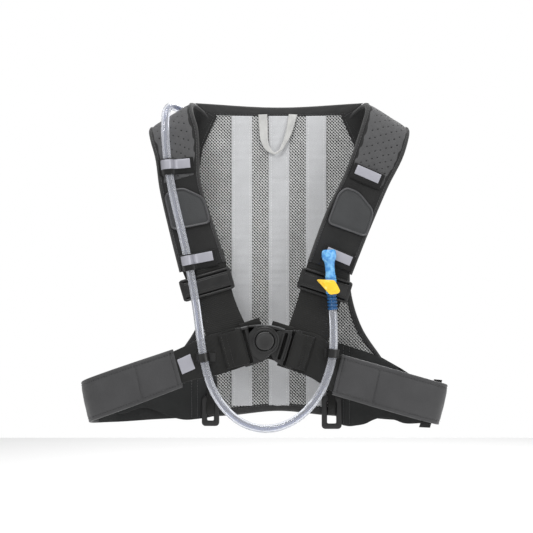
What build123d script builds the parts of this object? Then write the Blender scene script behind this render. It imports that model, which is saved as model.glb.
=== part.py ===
"""Hydration pack: a slim zipped pack on a vest-like harness, with its drinking hose.

Frame, in millimetres: X to the right as seen from the front of the harness, Y from the
harness back towards the pack, Z up. The origin is the middle of the back panel, on the
face that lies against the wearer's back. The harness stands as it is worn.
"""
import math
import os

from build123d import *

os.makedirs("parts", exist_ok=True)

# Driving sizes
panel_thickness = 5.0
pack_depth = 50.0
shell_wall = 2.0
pocket_depth = 18.0
webbing = 2.0
trim = 0.8
tube_diameter = 9.5
tube_radius = tube_diameter / 2
running_gap = 0.3

# Depths of the layers, from the panel towards the front of the harness
pad_thickness = 6.0
pad_middle = -47.5
pad_front = pad_middle - pad_thickness / 2
wing_thickness = 4.0
wing_middle = -53.0
belt_front = wing_middle - webbing / 2
belt_back = wing_middle + webbing / 2
tube_front_middle = -58.0
buckle_back = belt_front - running_gap
buckle_front = -66.0

LEFT = -1
RIGHT = 1
SIDE_NAMES = {LEFT: "left", RIGHT: "right"}


def save(name, builder):
    """Label a finished piece and write it as a STEP file."""
    builder.part.label = name
    export_step(builder.part, f"parts/{name}.step")


def sided(points, side):
    """Mirror outline points given for the right side onto the chosen side."""
    return [(side * x, z) for x, z in points]


def front_plane(back):
    """A sketch plane seen from the front: sketch x is X, sketch y is Z, normal is -Y."""
    return Plane.XZ.offset(-back)


def slab(points, front, back):
    """A flat piece from its outline seen from the front, between two depths."""
    with BuildPart() as piece:
        with BuildSketch(front_plane(back)):
            with BuildLine():
                Polyline(*points, close=True)
            make_face()
        extrude(amount=back - front)
    return piece


def curved_strip(first_edge, second_edge, front, back):
    """A flat strip between two smooth edges that run the same way."""
    with BuildPart() as piece:
        with BuildSketch(front_plane(back)):
            with BuildLine():
                Spline(*first_edge)
                Line(first_edge[-1], second_edge[-1])
                Spline(*second_edge)
                Line(second_edge[0], first_edge[0])
            make_face()
        extrude(amount=back - front)
    return piece


def flat_station(first, second, depth):
    """A cross-section of a strap that lies flat at one depth."""
    return Vector(first[0], depth, first[1]), Vector(second[0], depth, second[1]), Vector(0, -1, 0)


def fold_stations(first_apex, second_apex, side, rear_middle, front_middle, thickness, slip):
    """Cross-sections of a strap that turns back on itself, from the front round to the rear.

    The two apex points are the ends of the fold's outermost line. The strap shifts along
    the fold by slip for each quarter turn, because it meets the fold at an angle.
    """
    radius = (rear_middle - front_middle) / 2
    axis_depth = (rear_middle + front_middle) / 2
    along = (Vector(*second_apex) - Vector(*first_apex)).normalized()
    outwards = Vector(-side * along.Y, side * along.X)
    stations = []
    steps = 8
    for step in range(steps + 1):
        turn = math.pi * step / steps
        reach = radius * math.sin(turn) - radius - thickness / 2
        shift = outwards * reach + along * (slip * (step / steps - 0.5) * 2)
        depth = axis_depth - radius * math.cos(turn)
        first = Vector(*first_apex) + shift
        second = Vector(*second_apex) + shift
        face = Vector(outwards.X * math.sin(turn), -math.cos(turn), outwards.Y * math.sin(turn))
        stations.append((Vector(first.X, depth, first.Y), Vector(second.X, depth, second.Y), face))
    return stations


def ribbon(stations, thickness):
    """A strap lofted through its cross-sections."""
    with BuildPart() as piece:
        for first, second, face in stations:
            across = second - first
            plane = Plane(origin=(first + second) / 2, x_dir=across, z_dir=across.cross(face))
            with BuildSketch(plane):
                Rectangle(across.length, thickness)
        loft(ruled=True)
    return piece


# ---------------------------------------------------------------------------
# Back panel, its bindings and what is sewn on its face
# ---------------------------------------------------------------------------
shoulder_inner_apex = (102.5, 186.0)
shoulder_outer_apex = (153.5, 154.5)
shoulder_slip = -10.0
panel_yoke_inner = (78.8, 167.2)
panel_yoke_outer = (130.1, 135.5)
armhole_inner_start = (124.1, 139.2)
armhole_outer = [panel_yoke_outer, (102, 90), (88, 20), (87, -42), (100, -83), (123, -118)]
armhole_inner = [armhole_inner_start, (95, 92), (81, 20), (80, -40), (93.5, -87), (121, -124.7)]
neck_upper_right = (101, 187.3)
neck_lower_right = (83.2, 173)
neck_upper = [(-101, 187.3), (0, 182), neck_upper_right]
neck_lower = [(-83.2, 173), (0, 170.5), neck_lower_right]
hip_low = (102, -190)
hip_inner = (104.8, -180.4)
bottom_outer = [(-102, -190), (-60, -188), (0, -182.5), (60, -188), hip_low]
bottom_inner = [(-104.8, -180.4), (-60, -178), (0, -172.5), (60, -178), hip_inner]

with BuildPart() as back_panel:
    with BuildSketch(front_plane(panel_thickness)):
        with BuildLine():
            Spline(*neck_lower)
            Polyline(neck_lower_right, panel_yoke_inner, armhole_inner_start)
            Spline(*armhole_inner)
            Line(armhole_inner[-1], hip_inner)
            Spline(*bottom_inner)
            Line(*sided([hip_inner, armhole_inner[-1]], LEFT))
            Spline(*sided(armhole_inner, LEFT))
            Polyline(*sided([armhole_inner_start, panel_yoke_inner, neck_lower_right], LEFT))
        make_face()
    extrude(amount=panel_thickness)
save("back_panel", back_panel)

neck_binding = curved_strip(neck_upper, neck_lower, 0, panel_thickness)
save("neck_binding", neck_binding)
bottom_binding = curved_strip(bottom_outer, bottom_inner, 0, panel_thickness)
save("bottom_binding", bottom_binding)
for side in (LEFT, RIGHT):
    armhole_binding = curved_strip(sided(armhole_outer, side), sided(armhole_inner, side), 0, panel_thickness)
    save(f"armhole_binding_{SIDE_NAMES[side]}", armhole_binding)

strip_width = 25.0
strip_spacing = 44.5
strip_top = 168.0
strip_bottom = -170.0
with BuildPart() as spine_strips:
    with BuildSketch(front_plane(0)):
        with Locations((0, (strip_top + strip_bottom) / 2)):
            with GridLocations(strip_spacing, 1, 3, 1):
                Rectangle(strip_width, strip_top - strip_bottom)
    extrude(amount=trim)
save("spine_strips", spine_strips)

yoke_patch_outline = [(76, 168.5), (124, 138.5), (96, 101), (92, 134)]
with BuildPart() as yoke_patches:
    with BuildSketch(front_plane(0)):
        for side in (LEFT, RIGHT):
            with BuildLine():
                Polyline(*sided(yoke_patch_outline, side), close=True)
            make_face()
    extrude(amount=trim)
save("yoke_patches", yoke_patches)

hang_loop_outer = [(-25.5, 171), (-8, 125), (-2.5, 125), (22.5, 171)]
hang_loop_inner = [(-14.5, 171.5), (-5.2, 138), (11.0, 171.5)]
hang_loop_back = -1.2
with BuildPart() as hang_loop:
    with BuildSketch(front_plane(hang_loop_back)):
        with BuildLine():
            Polyline(*hang_loop_outer, close=True)
        make_face()
        with BuildLine():
            Polyline(*hang_loop_inner, close=True)
        make_face(mode=Mode.SUBTRACT)
    extrude(amount=1.5)
    with BuildSketch(front_plane(0)):
        for foot_x in (-20, 16.8):
            with Locations((foot_x, 170.4)):
                Rectangle(9, 4)
    extrude(amount=-hang_loop_back)
save("hang_loop", hang_loop)

# ---------------------------------------------------------------------------
# Zipped pack on the far side of the panel
# ---------------------------------------------------------------------------
pack_rear = panel_thickness + pack_depth
pack_half_outline = [(76, -166), (82, 50), (76, 118), (46, 160)]
pack_outline = pack_half_outline + sided(pack_half_outline[::-1], LEFT)
port_depth = 36.0
port_centre = Vector(-61, port_depth, 139)
port_out = Vector(-42, 0, 30).normalized()
port_plane = Plane(origin=port_centre, x_dir=(0, 1, 0), z_dir=port_out)
port_radius = 8.0
zip_slot_width = 8.0
main_zip_x = 52.0
main_zip_length = 210.0
main_zip_z = -5.0

with BuildPart() as pack_shell:
    with BuildSketch(front_plane(pack_rear)):
        with BuildLine():
            Polyline(*pack_outline, close=True)
        make_face()
        fillet(vertices(), radius=14)
    extrude(amount=pack_depth)
    fillet(faces().sort_by(Axis.Y)[-1].edges(), radius=10)
    offset(amount=-shell_wall, openings=faces().sort_by(Axis.Y)[0])
    with BuildSketch(port_plane.offset(-14)):
        Circle(port_radius)
    extrude(amount=28, mode=Mode.SUBTRACT)
    with BuildSketch(front_plane(pack_rear + 1)):
        with Locations((main_zip_x, main_zip_z)):
            Rectangle(zip_slot_width, main_zip_length - 10)
    extrude(amount=shell_wall + 2, mode=Mode.SUBTRACT)
save("pack_shell", pack_shell)

pocket_centre = (-18.0, -30.0)
pocket_width = 92.0
pocket_height = 210.0
pocket_rear = pack_rear + pocket_depth
pocket_zip_x = -2.0
pocket_zip_length = 150.0
with BuildPart() as pocket_shell:
    with BuildSketch(front_plane(pocket_rear)):
        with Locations(pocket_centre):
            RectangleRounded(pocket_width, pocket_height, 14)
    extrude(amount=pocket_depth)
    fillet(faces().sort_by(Axis.Y)[-1].edges(), radius=7)
    offset(amount=-shell_wall, openings=faces().sort_by(Axis.Y)[0])
    with BuildSketch(front_plane(pocket_rear + 1)):
        with Locations((pocket_zip_x, pocket_centre[1])):
            Rectangle(zip_slot_width, pocket_zip_length - 10)
    extrude(amount=shell_wall + 2, mode=Mode.SUBTRACT)
save("pocket_shell", pocket_shell)

zip_tape_width = 24.0
teeth_width = 5.0
teeth_height = 1.6
slider_length = 11.0
slider_width = 8.0
slider_wall = 1.5


def make_zip(prefix, centre_x, centre_z, length, face_depth):
    """A straight zip on a face that looks towards +Y: tape, teeth, slider and pull."""
    with BuildPart() as tape:
        with BuildSketch(front_plane(face_depth)):
            with Locations((centre_x, centre_z)):
                Rectangle(zip_tape_width, length)
        extrude(amount=-1)
    save(f"{prefix}_zip_tape", tape)

    teeth_front = face_depth + 1
    with BuildPart() as teeth:
        with BuildSketch(front_plane(teeth_front)):
            with Locations((centre_x, centre_z)):
                Rectangle(teeth_width, length - 6)
        extrude(amount=-teeth_height)
    save(f"{prefix}_zip_teeth", teeth)

    slider_top = centre_z + length / 2 - 8
    slider_middle = slider_top - slider_length / 2
    roof = teeth_front + teeth_height + running_gap
    with BuildPart() as slider:
        with BuildSketch(front_plane(teeth_front + running_gap)):
            with Locations((centre_x, slider_middle)):
                Rectangle(slider_width, slider_length)
                Rectangle(teeth_width + 2 * running_gap, slider_length, mode=Mode.SUBTRACT)
        extrude(amount=running_gap - (roof - teeth_front))
        with BuildSketch(front_plane(roof)):
            with Locations((centre_x, slider_middle)):
                Rectangle(slider_width, slider_length)
        extrude(amount=-slider_wall)
        with BuildSketch(Plane.YZ.offset(centre_x - 1)):
            with Locations((roof + slider_wall + 1.9, slider_middle)):
                Rectangle(3.8, 8)
            with Locations((roof + slider_wall + 1.3, slider_middle)):
                Rectangle(2.6, 5, mode=Mode.SUBTRACT)
        extrude(amount=2)
    save(f"{prefix}_zip_slider", slider)

    pivot_depth = roof + slider_wall + 1.3
    with BuildPart() as pull:
        with BuildSketch(Plane.YZ.offset(centre_x - 3.5)):
            with Locations((pivot_depth, slider_middle)):
                Circle(0.8)
        extrude(amount=7)
        with BuildSketch(front_plane(pivot_depth + 0.8)):
            for arm_x in (-2.7, 2.7):
                with Locations((centre_x + arm_x, slider_middle - 4)):
                    Rectangle(1.6, 8)
            with Locations((centre_x, slider_middle - 21)):
                RectangleRounded(7, 28, 2)
        extrude(amount=1.6)
    save(f"{prefix}_zip_pull", pull)
    print(f"{prefix} zip pull pivot: x {centre_x} y {pivot_depth:.2f} z {slider_middle:.2f}")


make_zip("main", main_zip_x, main_zip_z, main_zip_length, pack_rear)
make_zip("pocket", pocket_zip_x, pocket_centre[1], pocket_zip_length, pocket_rear)

# ---------------------------------------------------------------------------
# Water bladder inside the pack
# ---------------------------------------------------------------------------
bladder_front = 9.0
bladder_depth = 22.0
bladder_rear = bladder_front + bladder_depth
bladder_wall = 1.2
bladder_centre = (0, -20)
bladder_width = 138.0
bladder_height = 262.0
neck_centre = (10.0, 70.0)
neck_outer_radius = 26.0
neck_inner_radius = 23.0
neck_rear = 44.0

with BuildPart() as bladder:
    with BuildSketch(front_plane(bladder_rear)):
        with Locations(bladder_centre):
            RectangleRounded(bladder_width, bladder_height, 30)
    extrude(amount=bladder_depth)
    fillet(faces().filter_by(Axis.Y).edges(), radius=9)
    with BuildSketch(front_plane(bladder_rear - bladder_wall)):
        with Locations(bladder_centre):
            RectangleRounded(bladder_width - 2 * bladder_wall - 10, bladder_height - 2 * bladder_wall - 10, 24)
    extrude(amount=bladder_depth - 2 * bladder_wall, mode=Mode.SUBTRACT)
    with BuildSketch(front_plane(neck_rear)):
        with Locations(neck_centre):
            Circle(neck_outer_radius)
    extrude(amount=neck_rear - bladder_rear)
    with BuildSketch(front_plane(neck_rear)):
        with Locations(neck_centre):
            Circle(neck_inner_radius)
    extrude(amount=neck_rear - bladder_rear + 3, mode=Mode.SUBTRACT)
save("bladder", bladder)

cap_radius = 30.0
cap_rear = 50.0
cap_front = 38.0
with BuildPart() as fill_cap:
    with BuildSketch(front_plane(cap_rear)):
        with Locations(neck_centre):
            Circle(cap_radius)
    extrude(amount=cap_rear - cap_front)
    with BuildSketch(front_plane(neck_rear + running_gap)):
        with Locations(neck_centre):
            Circle(neck_outer_radius + running_gap)
    extrude(amount=neck_rear + running_gap - cap_front, mode=Mode.SUBTRACT)
    with BuildSketch(front_plane(cap_rear)):
        with Locations(neck_centre):
            with PolarLocations(cap_radius, 12):
                Circle(1.6)
    extrude(amount=cap_rear - cap_front, mode=Mode.SUBTRACT)
save("fill_cap", fill_cap)

with BuildPart() as bladder_hanger:
    with BuildSketch(front_plane(22)):
        with Locations((0, 136.5)):
            Rectangle(24, 43)
    extrude(amount=webbing)
save("bladder_hanger", bladder_hanger)

connector_x = -30.0
connector_z = -108.0
inner_tube_depth = 42.0
connector_top = -96.0
with BuildPart() as hose_connector:
    with BuildSketch(front_plane(bladder_rear + 3)):
        with Locations((connector_x, connector_z)):
            Circle(13)
    extrude(amount=3)
    with BuildSketch(front_plane(inner_tube_depth + 6)):
        with Locations((connector_x, connector_z)):
            Circle(7)
    extrude(amount=inner_tube_depth + 6 - bladder_rear - 3)
    with BuildSketch(Plane.XY.offset(connector_z)):
        with Locations((connector_x, inner_tube_depth)):
            Circle(6)
    extrude(amount=connector_top - connector_z)
save("hose_connector", hose_connector)

# ---------------------------------------------------------------------------
# Hose: through the port, over the left shoulder, down the harness and up to the valve
# ---------------------------------------------------------------------------
port_outer_reach = 4.0
port_inner_reach = -6.0


def rounded_path(points):
    """Straight runs joined by arcs as large as the two runs at each corner allow."""
    radii = []
    for before, corner, after in zip(points, points[1:], points[2:]):
        arriving = Vector(*corner) - Vector(*before)
        leaving = Vector(*after) - Vector(*corner)
        half_turn = math.radians(arriving.get_angle(leaving)) / 2
        radii.append(0.45 * min(arriving.length, leaving.length) / math.tan(half_turn))
    with BuildLine() as path:
        FilletPolyline(*points, radius=radii)
    return path.wires()[0], radii


def make_tube(name, points):
    """A round tube along a list of points, written and checked against its length."""
    path, radii = rounded_path(points)
    with BuildPart() as tube:
        with BuildSketch(Plane(origin=path @ 0, z_dir=path % 0)):
            Circle(tube_radius)
        sweep(path=path)
    section = math.pi * tube_radius ** 2
    print(f"{name} length {path.length:.1f} volume ratio {tube.part.volume / section / path.length:.4f}")
    print(f"{name} radii", " ".join(f"{radius:.0f}" for radius in radii))
    save(name, tube)
    return path


with BuildPart() as tube_port:
    with BuildSketch(port_plane.offset(port_inner_reach)):
        Circle(port_radius)
        Circle(tube_radius, mode=Mode.SUBTRACT)
    extrude(amount=port_outer_reach - port_inner_reach)
    with BuildSketch(port_plane.offset(1.2)):
        Circle(port_radius + 3.5)
        Circle(tube_radius, mode=Mode.SUBTRACT)
    extrude(amount=port_outer_reach - 1.2)
save("tube_port", tube_port)

port_mouth = port_centre + port_out * port_outer_reach
port_inside = port_centre - port_out * 26
inner_tube_points = [
    (connector_x, inner_tube_depth, connector_top),
    (connector_x, inner_tube_depth, -48),
    (-40, inner_tube_depth, 18),
    (-45, inner_tube_depth, 78),
    tuple(port_inside),
    tuple(port_mouth),
]
make_tube("inner_tube", inner_tube_points)

valve_tilt = Vector(-0.07, 0, 1).normalized()
hose_end = Vector(62.1, -62.5, -59.1)
last_run = hose_end - valve_tilt * 33
drink_tube_points = [
    tuple(port_mouth),
    tuple(port_mouth + port_out * 37),
    (-119, -2, 178),
    (-132, -38, 177),
    (-134, tube_front_middle, 152),
    (-128.8, tube_front_middle, 94),
    (-110.5, -58.6, 18.4),
    (-97.7, -59.3, -45.7),
    (-89.3, -59.6, -115.6),
    (-77.3, -59.8, -157.6),
    (-50.5, -60.5, -189.6),
    (-15, -62, -200.7),
    (20.5, -62.5, -188.4),
    (46.2, -62.5, -161),
    (60.4, -62.5, -126.1),
    tuple(last_run),
    tuple(hose_end),
]
hose_path = make_tube("drink_tube", drink_tube_points)


def hose_plane(height, first, last):
    """The plane across the hose where a stretch of it, between two fractions, is at a height."""
    samples = 400
    fractions = [first + (last - first) * sample / samples for sample in range(samples + 1)]
    place = min(fractions, key=lambda fraction: abs((hose_path @ fraction).Z - height))
    return Plane(origin=hose_path @ place, x_dir=(1, 0, 0), z_dir=hose_path % place)


# ---------------------------------------------------------------------------
# Bite valve with its quarter-turn shut-off
# ---------------------------------------------------------------------------
valve_plane = Plane(origin=hose_end, x_dir=Vector(1, 0, 0.07), z_dir=valve_tilt)
collar_length = 18.5
collar_radius = 5.6
body_length = 17.5
body_radius = 6.6
plug_radius = 3.4
bore_radius = 2.0
lever_front = -10.2
lever_back = -6.9

with BuildPart() as valve_collar:
    with BuildSketch(valve_plane):
        Circle(collar_radius)
    extrude(amount=collar_length)
    for rib in range(3):
        with BuildSketch(valve_plane.offset(3.5 + 4.5 * rib)):
            Circle(collar_radius)
            Circle(collar_radius - 0.7, mode=Mode.SUBTRACT)
        extrude(amount=1.2, mode=Mode.SUBTRACT)
save("valve_collar", valve_collar)

pivot_height = collar_length + body_length / 2
pivot_point = hose_end + valve_tilt * pivot_height
lever_plane = Plane(origin=pivot_point, x_dir=Vector(1, 0, 0.07), z_dir=(0, -1, 0))
with BuildPart() as valve_body:
    with BuildSketch(valve_plane.offset(collar_length)):
        Circle(body_radius)
    extrude(amount=body_length)
    with BuildSketch(valve_plane.offset(collar_length)):
        Circle(bore_radius)
    extrude(amount=body_length, mode=Mode.SUBTRACT)
    with BuildSketch(lever_plane.offset(-4)):
        Circle(plug_radius + 0.05)
    extrude(amount=12, mode=Mode.SUBTRACT)
save("valve_body", valve_body)

lever_outline = [(-16, 8), (4, 6.5), (8, -2), (9.6, -6.4), (6.6, -8.7), (-2.6, -9.2)]
with BuildPart() as shutoff_lever:
    with BuildSketch(lever_plane.offset(-lever_back)):
        with BuildLine():
            Polyline(*lever_outline, close=True)
        make_face()
        fillet(vertices(), radius=1.5)
    extrude(amount=lever_back - lever_front)
    with BuildSketch(lever_plane.offset(-3.6)):
        Circle(plug_radius)
    extrude(amount=3.6 - lever_back)
    with BuildSketch(valve_plane.offset(collar_length)):
        Circle(bore_radius)
    extrude(amount=body_length, mode=Mode.SUBTRACT)
save("shutoff_lever", shutoff_lever)

mouthpiece_start = collar_length + body_length
mouthpiece_profile = [(0, 0), (6.6, 0), (6.6, 4), (5.2, 7), (5.2, 15), (8, 20), (8.2, 26), (6, 33), (0, 34)]
with BuildPart() as bite_valve:
    with BuildSketch(Plane(origin=valve_plane.offset(mouthpiece_start).origin, x_dir=valve_plane.x_dir,
                           z_dir=(0, -1, 0))):
        with BuildLine():
            Polyline(*mouthpiece_profile, close=True)
        make_face()
    revolve(axis=Axis(valve_plane.offset(mouthpiece_start).origin, valve_tilt))
save("bite_valve", bite_valve)

# ---------------------------------------------------------------------------
# Shoulder straps
# ---------------------------------------------------------------------------
shoulder_runs = {
    LEFT: [((-92, 92), (-140, 80)), ((-77, 42), (-128, 28)), ((-62, -3), (-117, -16))],
    RIGHT: [((78, 104), (127, 83)), ((54, 54), (104, 29)), ((33, -3), (85, -19))],
}
pocket_outlines = {
    LEFT: [(-135, 75), (-122, 81.5), (-112, 83), (-88, 72), (-80, 42), (-125.5, 33)],
    RIGHT: [(68.8, 77), (78, 84), (93, 78.5), (109, 58.5), (110, 51.5), (101.5, 25), (55.5, 41.5)],
}
pocket_thickness = 2.0

for side in (LEFT, RIGHT):
    turned = fold_stations(
        sided([shoulder_inner_apex], side)[0],
        sided([shoulder_outer_apex], side)[0],
        side, panel_thickness / 2, pad_middle, pad_thickness, shoulder_slip,
    )
    run = [flat_station(inner, outer, pad_middle) for inner, outer in shoulder_runs[side]]
    shoulder_pad = ribbon(run[::-1] + turned, pad_thickness)
    save(f"shoulder_pad_{SIDE_NAMES[side]}", shoulder_pad)
    strap_pocket = slab(pocket_outlines[side], pad_front - pocket_thickness, pad_front)
    save(f"strap_pocket_{SIDE_NAMES[side]}", strap_pocket)

loop_width = 19.0
loop_reflector_width = 9.5
loop_thickness = 1.2
hump_height = 13.4
hump_foot = 7.0
hump_top = 4.8


def loop_outline(half_length, hump_middle, raised, thickness):
    """A band's cross-section: flat on the strap, with a hump over a tube where it has one."""
    lower = [(-half_length, 0)]
    if raised:
        lower += [(hump_middle - hump_foot, 0), (hump_middle - hump_top, hump_height)]
        lower += [(hump_middle + hump_top, hump_height), (hump_middle + hump_foot, 0)]
    lower += [(half_length, 0)]
    upper = [(x, height + thickness) for x, height in reversed(lower)]
    return lower + upper


def loop_plane(centre, tilt):
    """A sketch plane across a strap: sketch x runs along the band, sketch y out of the strap."""
    across = Vector(math.cos(math.radians(tilt)), 0, math.sin(math.radians(tilt)))
    down = Vector(across.Z, 0, -across.X)
    return Plane(origin=(centre[0], pad_front, centre[1]), x_dir=across, z_dir=down)


def band_profile(plane, half_length, hump_middle, raised, base, thickness):
    """The cross-section of one band as a sketch on its plane."""
    outline = loop_outline(half_length, hump_middle, raised, thickness)
    with BuildSketch(plane) as profile:
        with BuildLine():
            Polyline(*[(x, height + base) for x, height in outline], close=True)
        make_face()
    return profile.sketch


# centre in X and Z, tilt in degrees, half length, where the hump is, whether it is raised
strap_loops = {
    LEFT: [((-120.5, 108), 5, 20.5, -9.5, True), ((-94, -2), 11, 21, -12.8, True)],
    RIGHT: [((102.4, 96.5), -23.5, 19, 0, False), ((71, 3.5), -23, 19.5, 0, False)],
}
loop_names = {LEFT: "tube_loop", RIGHT: "gear_loop"}
for side in (LEFT, RIGHT):
    with BuildPart() as loop_reflectors:
        for centre, tilt, half_length, hump, raised in strap_loops[side]:
            strip = band_profile(loop_plane(centre, tilt), half_length - 0.7, hump, raised, loop_thickness, 0.5)
            extrude(strip, amount=loop_reflector_width / 2, both=True)
    save(f"loop_reflectors_{SIDE_NAMES[side]}", loop_reflectors)
    for level, (centre, tilt, half_length, hump, raised) in zip(("upper", "lower"), strap_loops[side]):
        with BuildPart() as band:
            profile = band_profile(loop_plane(centre, tilt), half_length, hump, raised, 0, loop_thickness)
            extrude(profile, amount=loop_width / 2, both=True)
        save(f"{loop_names[side]}_{level}_{SIDE_NAMES[side]}", band)

lower_runs = {
    LEFT: [((-62.5, -3.5), (-113, -15.5)), ((-52, -48), (-94, -62)), ((-33.5, -90), (-77, -98))],
    RIGHT: [((33.5, -3.5), (82, -18.5)), ((20, -52), (67, -66)), ((9, -84), (55, -104))],
}
lower_depths = (-48.5, -48.5, -51.0)
adjuster_places = {LEFT: ((-84.8, -30), 16), RIGHT: ((53, -31), -17.5)}
adjuster_width = 63.0
adjuster_height = 26.0
adjuster_front = -53.0
adjuster_back = -44.5
adjuster_slot = 3.8
adjuster_wall = 2.1

for side in (LEFT, RIGHT):
    run = [flat_station(*edges, depth) for edges, depth in zip(lower_runs[side], lower_depths)]
    lower_strap = ribbon(run, webbing)
    save(f"lower_strap_{SIDE_NAMES[side]}", lower_strap)

    (middle_x, middle_z), tilt = adjuster_places[side]
    across = Vector(math.cos(math.radians(tilt)), 0, math.sin(math.radians(tilt)))
    frame_plane = Plane(origin=(middle_x, adjuster_back, middle_z), x_dir=across, z_dir=(0, -1, 0))
    with BuildPart() as adjuster:
        with BuildSketch(frame_plane):
            RectangleRounded(adjuster_width, adjuster_height, 3)
        extrude(amount=adjuster_back - adjuster_front)
        with BuildSketch(frame_plane.offset(adjuster_wall)):
            Rectangle(adjuster_width - 5, adjuster_height + 1)
        extrude(amount=adjuster_slot, mode=Mode.SUBTRACT)
        with BuildSketch(frame_plane.offset(adjuster_back - adjuster_front)):
            with GridLocations(1, 10.5, 1, 2):
                Rectangle(adjuster_width - 8, 6)
        extrude(amount=-3, mode=Mode.SUBTRACT)
    save(f"strap_adjuster_{SIDE_NAMES[side]}", adjuster)

# ---------------------------------------------------------------------------
# Belt: padded wings that fold forward, and the webbing that meets at the buckle
# ---------------------------------------------------------------------------
wing_apexes = {LEFT: ((-234.6, -145.8), (-225.2, -194.3)), RIGHT: ((199.7, -148.7), (189.2, -196.7))}
wing_slip = {LEFT: 6.8, RIGHT: 2.8}
wing_front_end = {LEFT: ((-124.4, -105.5), (-112.7, -150)), RIGHT: ((72.9, -111.4), (61.6, -158.8))}
wing_rear_middle = 2.0
wing_rear_run = {
    LEFT: [((-150, -129), (-143, -192)), ((-123, -118), (-102, -190))],
    RIGHT: [((146, -131), (139, -193)), ((123, -118), (102, -190))],
}
belt_runs = {
    LEFT: [((-121.4, -107), (-113.8, -145.8)), ((-81, -89), (-68, -134.5)), ((-46, -79.5), (-32, -122.5))],
    RIGHT: [((72.2, -113.5), (62.4, -155.2)), ((50, -92), (37, -139)), ((12, -81), (-3, -124.5))],
}

for side in (LEFT, RIGHT):
    top_apex, bottom_apex = wing_apexes[side]
    turned = fold_stations(
        top_apex, bottom_apex, side, wing_rear_middle, wing_middle, wing_thickness, wing_slip[side]
    )
    front_end = flat_station(*wing_front_end[side], wing_middle)
    rear = [flat_station(top, bottom, wing_rear_middle) for top, bottom in wing_rear_run[side]]
    belt_wing = ribbon([front_end] + turned + rear, wing_thickness)
    save(f"belt_wing_{SIDE_NAMES[side]}", belt_wing)
    run = [flat_station(top, bottom, wing_middle) for top, bottom in belt_runs[side]]
    front_strap = ribbon(run, webbing)
    save(f"front_strap_{SIDE_NAMES[side]}", front_strap)

belt_reflector = slab([(-119.5, -118), (-104.3, -111), (-98.1, -128.3), (-113.5, -135)], belt_front - 0.6, belt_front)
save("belt_reflector", belt_reflector)

clip_heights = {LEFT: -115.0, RIGHT: -110.0}
clip_stretches = {LEFT: (0.3, 0.6), RIGHT: (0.85, 1.0)}
clip_plates = {LEFT: (-86, 23), RIGHT: (60.7, 16)}
clip_height = 10.0
clip_wall = 2.0
clip_clearance = 0.4
for side in (LEFT, RIGHT):
    ring_plane = hose_plane(clip_heights[side], *clip_stretches[side])
    clip_x = ring_plane.origin.X
    clip_depth = ring_plane.origin.Y
    plate_x, plate_width = clip_plates[side]
    with BuildPart() as tube_clip:
        with BuildSketch(front_plane(belt_front)):
            with Locations((plate_x, clip_heights[side])):
                Rectangle(plate_width, clip_height)
        extrude(amount=1.5)
        with BuildSketch(front_plane(belt_front)):
            with Locations((clip_x, clip_heights[side])):
                Rectangle(8, clip_height)
        extrude(amount=belt_front - clip_depth)
        with BuildSketch(ring_plane):
            Circle(tube_radius + clip_clearance + clip_wall)
        extrude(amount=clip_height / 2, both=True)
        with BuildSketch(ring_plane):
            Circle(tube_radius + clip_clearance)
        extrude(amount=clip_height, both=True, mode=Mode.SUBTRACT)
        with BuildSketch(front_plane(belt_front + 10)):
            with Locations((clip_x, clip_heights[side])):
                Rectangle(60, 40)
        extrude(amount=10, mode=Mode.SUBTRACT)
    save(f"tube_clip_{SIDE_NAMES[side]}", tube_clip)

# ---------------------------------------------------------------------------
# Centre buckle: housing on the left strap, tongue on the right strap, push button
# ---------------------------------------------------------------------------
buckle_centre = Vector(-17, 0, -95.5)
hub_radius = 16.5
button_radius = 10.9
button_back = -64.2
button_front = -67.4
plate_front = -61.5
plate_back = -57.3
bar_half_width = 3.0
frame_half_height = 24.0
slot_half_height = 21.5
tongue_out = Vector(0.956, 0, -0.292).normalized()
housing_out = Vector(-0.965, 0, -0.263).normalized()


def strap_plane(outwards, depth):
    """A sketch plane centred on the button: sketch x runs out along a strap."""
    origin = Vector(buckle_centre.X, depth, buckle_centre.Z)
    side = 1 if outwards.X > 0 else -1
    return Plane(origin=origin, x_dir=outwards * side, z_dir=(0, -1, 0))


housing_bar = -27.3
tongue_bar = 35.8
with BuildPart() as buckle_housing:
    with BuildSketch(strap_plane(housing_out, buckle_back)):
        Circle(hub_radius)
        with BuildLine():
            Polyline((0, hub_radius), (-17, 17), (-19, -19), (-6, -23), (6, -15), close=True)
        make_face()
    extrude(amount=buckle_back - buckle_front)
    with BuildSketch(strap_plane(housing_out, plate_back)):
        with BuildLine():
            Polyline((-10, 17), (housing_bar - bar_half_width, frame_half_height),
                     (housing_bar - bar_half_width, -frame_half_height), (-6, -23), close=True)
        make_face()
        with Locations((housing_bar + bar_half_width + 2.5, 0)):
            Rectangle(5, 2 * slot_half_height, mode=Mode.SUBTRACT)
    extrude(amount=plate_back - plate_front)
    with BuildSketch(strap_plane(tongue_out, plate_back + running_gap)):
        with Locations((12.5, 0)):
            Rectangle(20, 2 * (11 + running_gap))
    extrude(amount=plate_back - plate_front + 2 * running_gap, mode=Mode.SUBTRACT)
    with BuildSketch(strap_plane(tongue_out, plate_front)):
        Circle(button_radius + running_gap)
    extrude(amount=plate_front - buckle_front, mode=Mode.SUBTRACT)
save("buckle_housing", buckle_housing)

with BuildPart() as buckle_button:
    with BuildSketch(strap_plane(tongue_out, button_back)):
        Circle(button_radius)
    extrude(amount=button_back - button_front)
    fillet(faces().sort_by(Axis.Y)[0].edges(), radius=0.8)
save("buckle_button", buckle_button)

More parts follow.
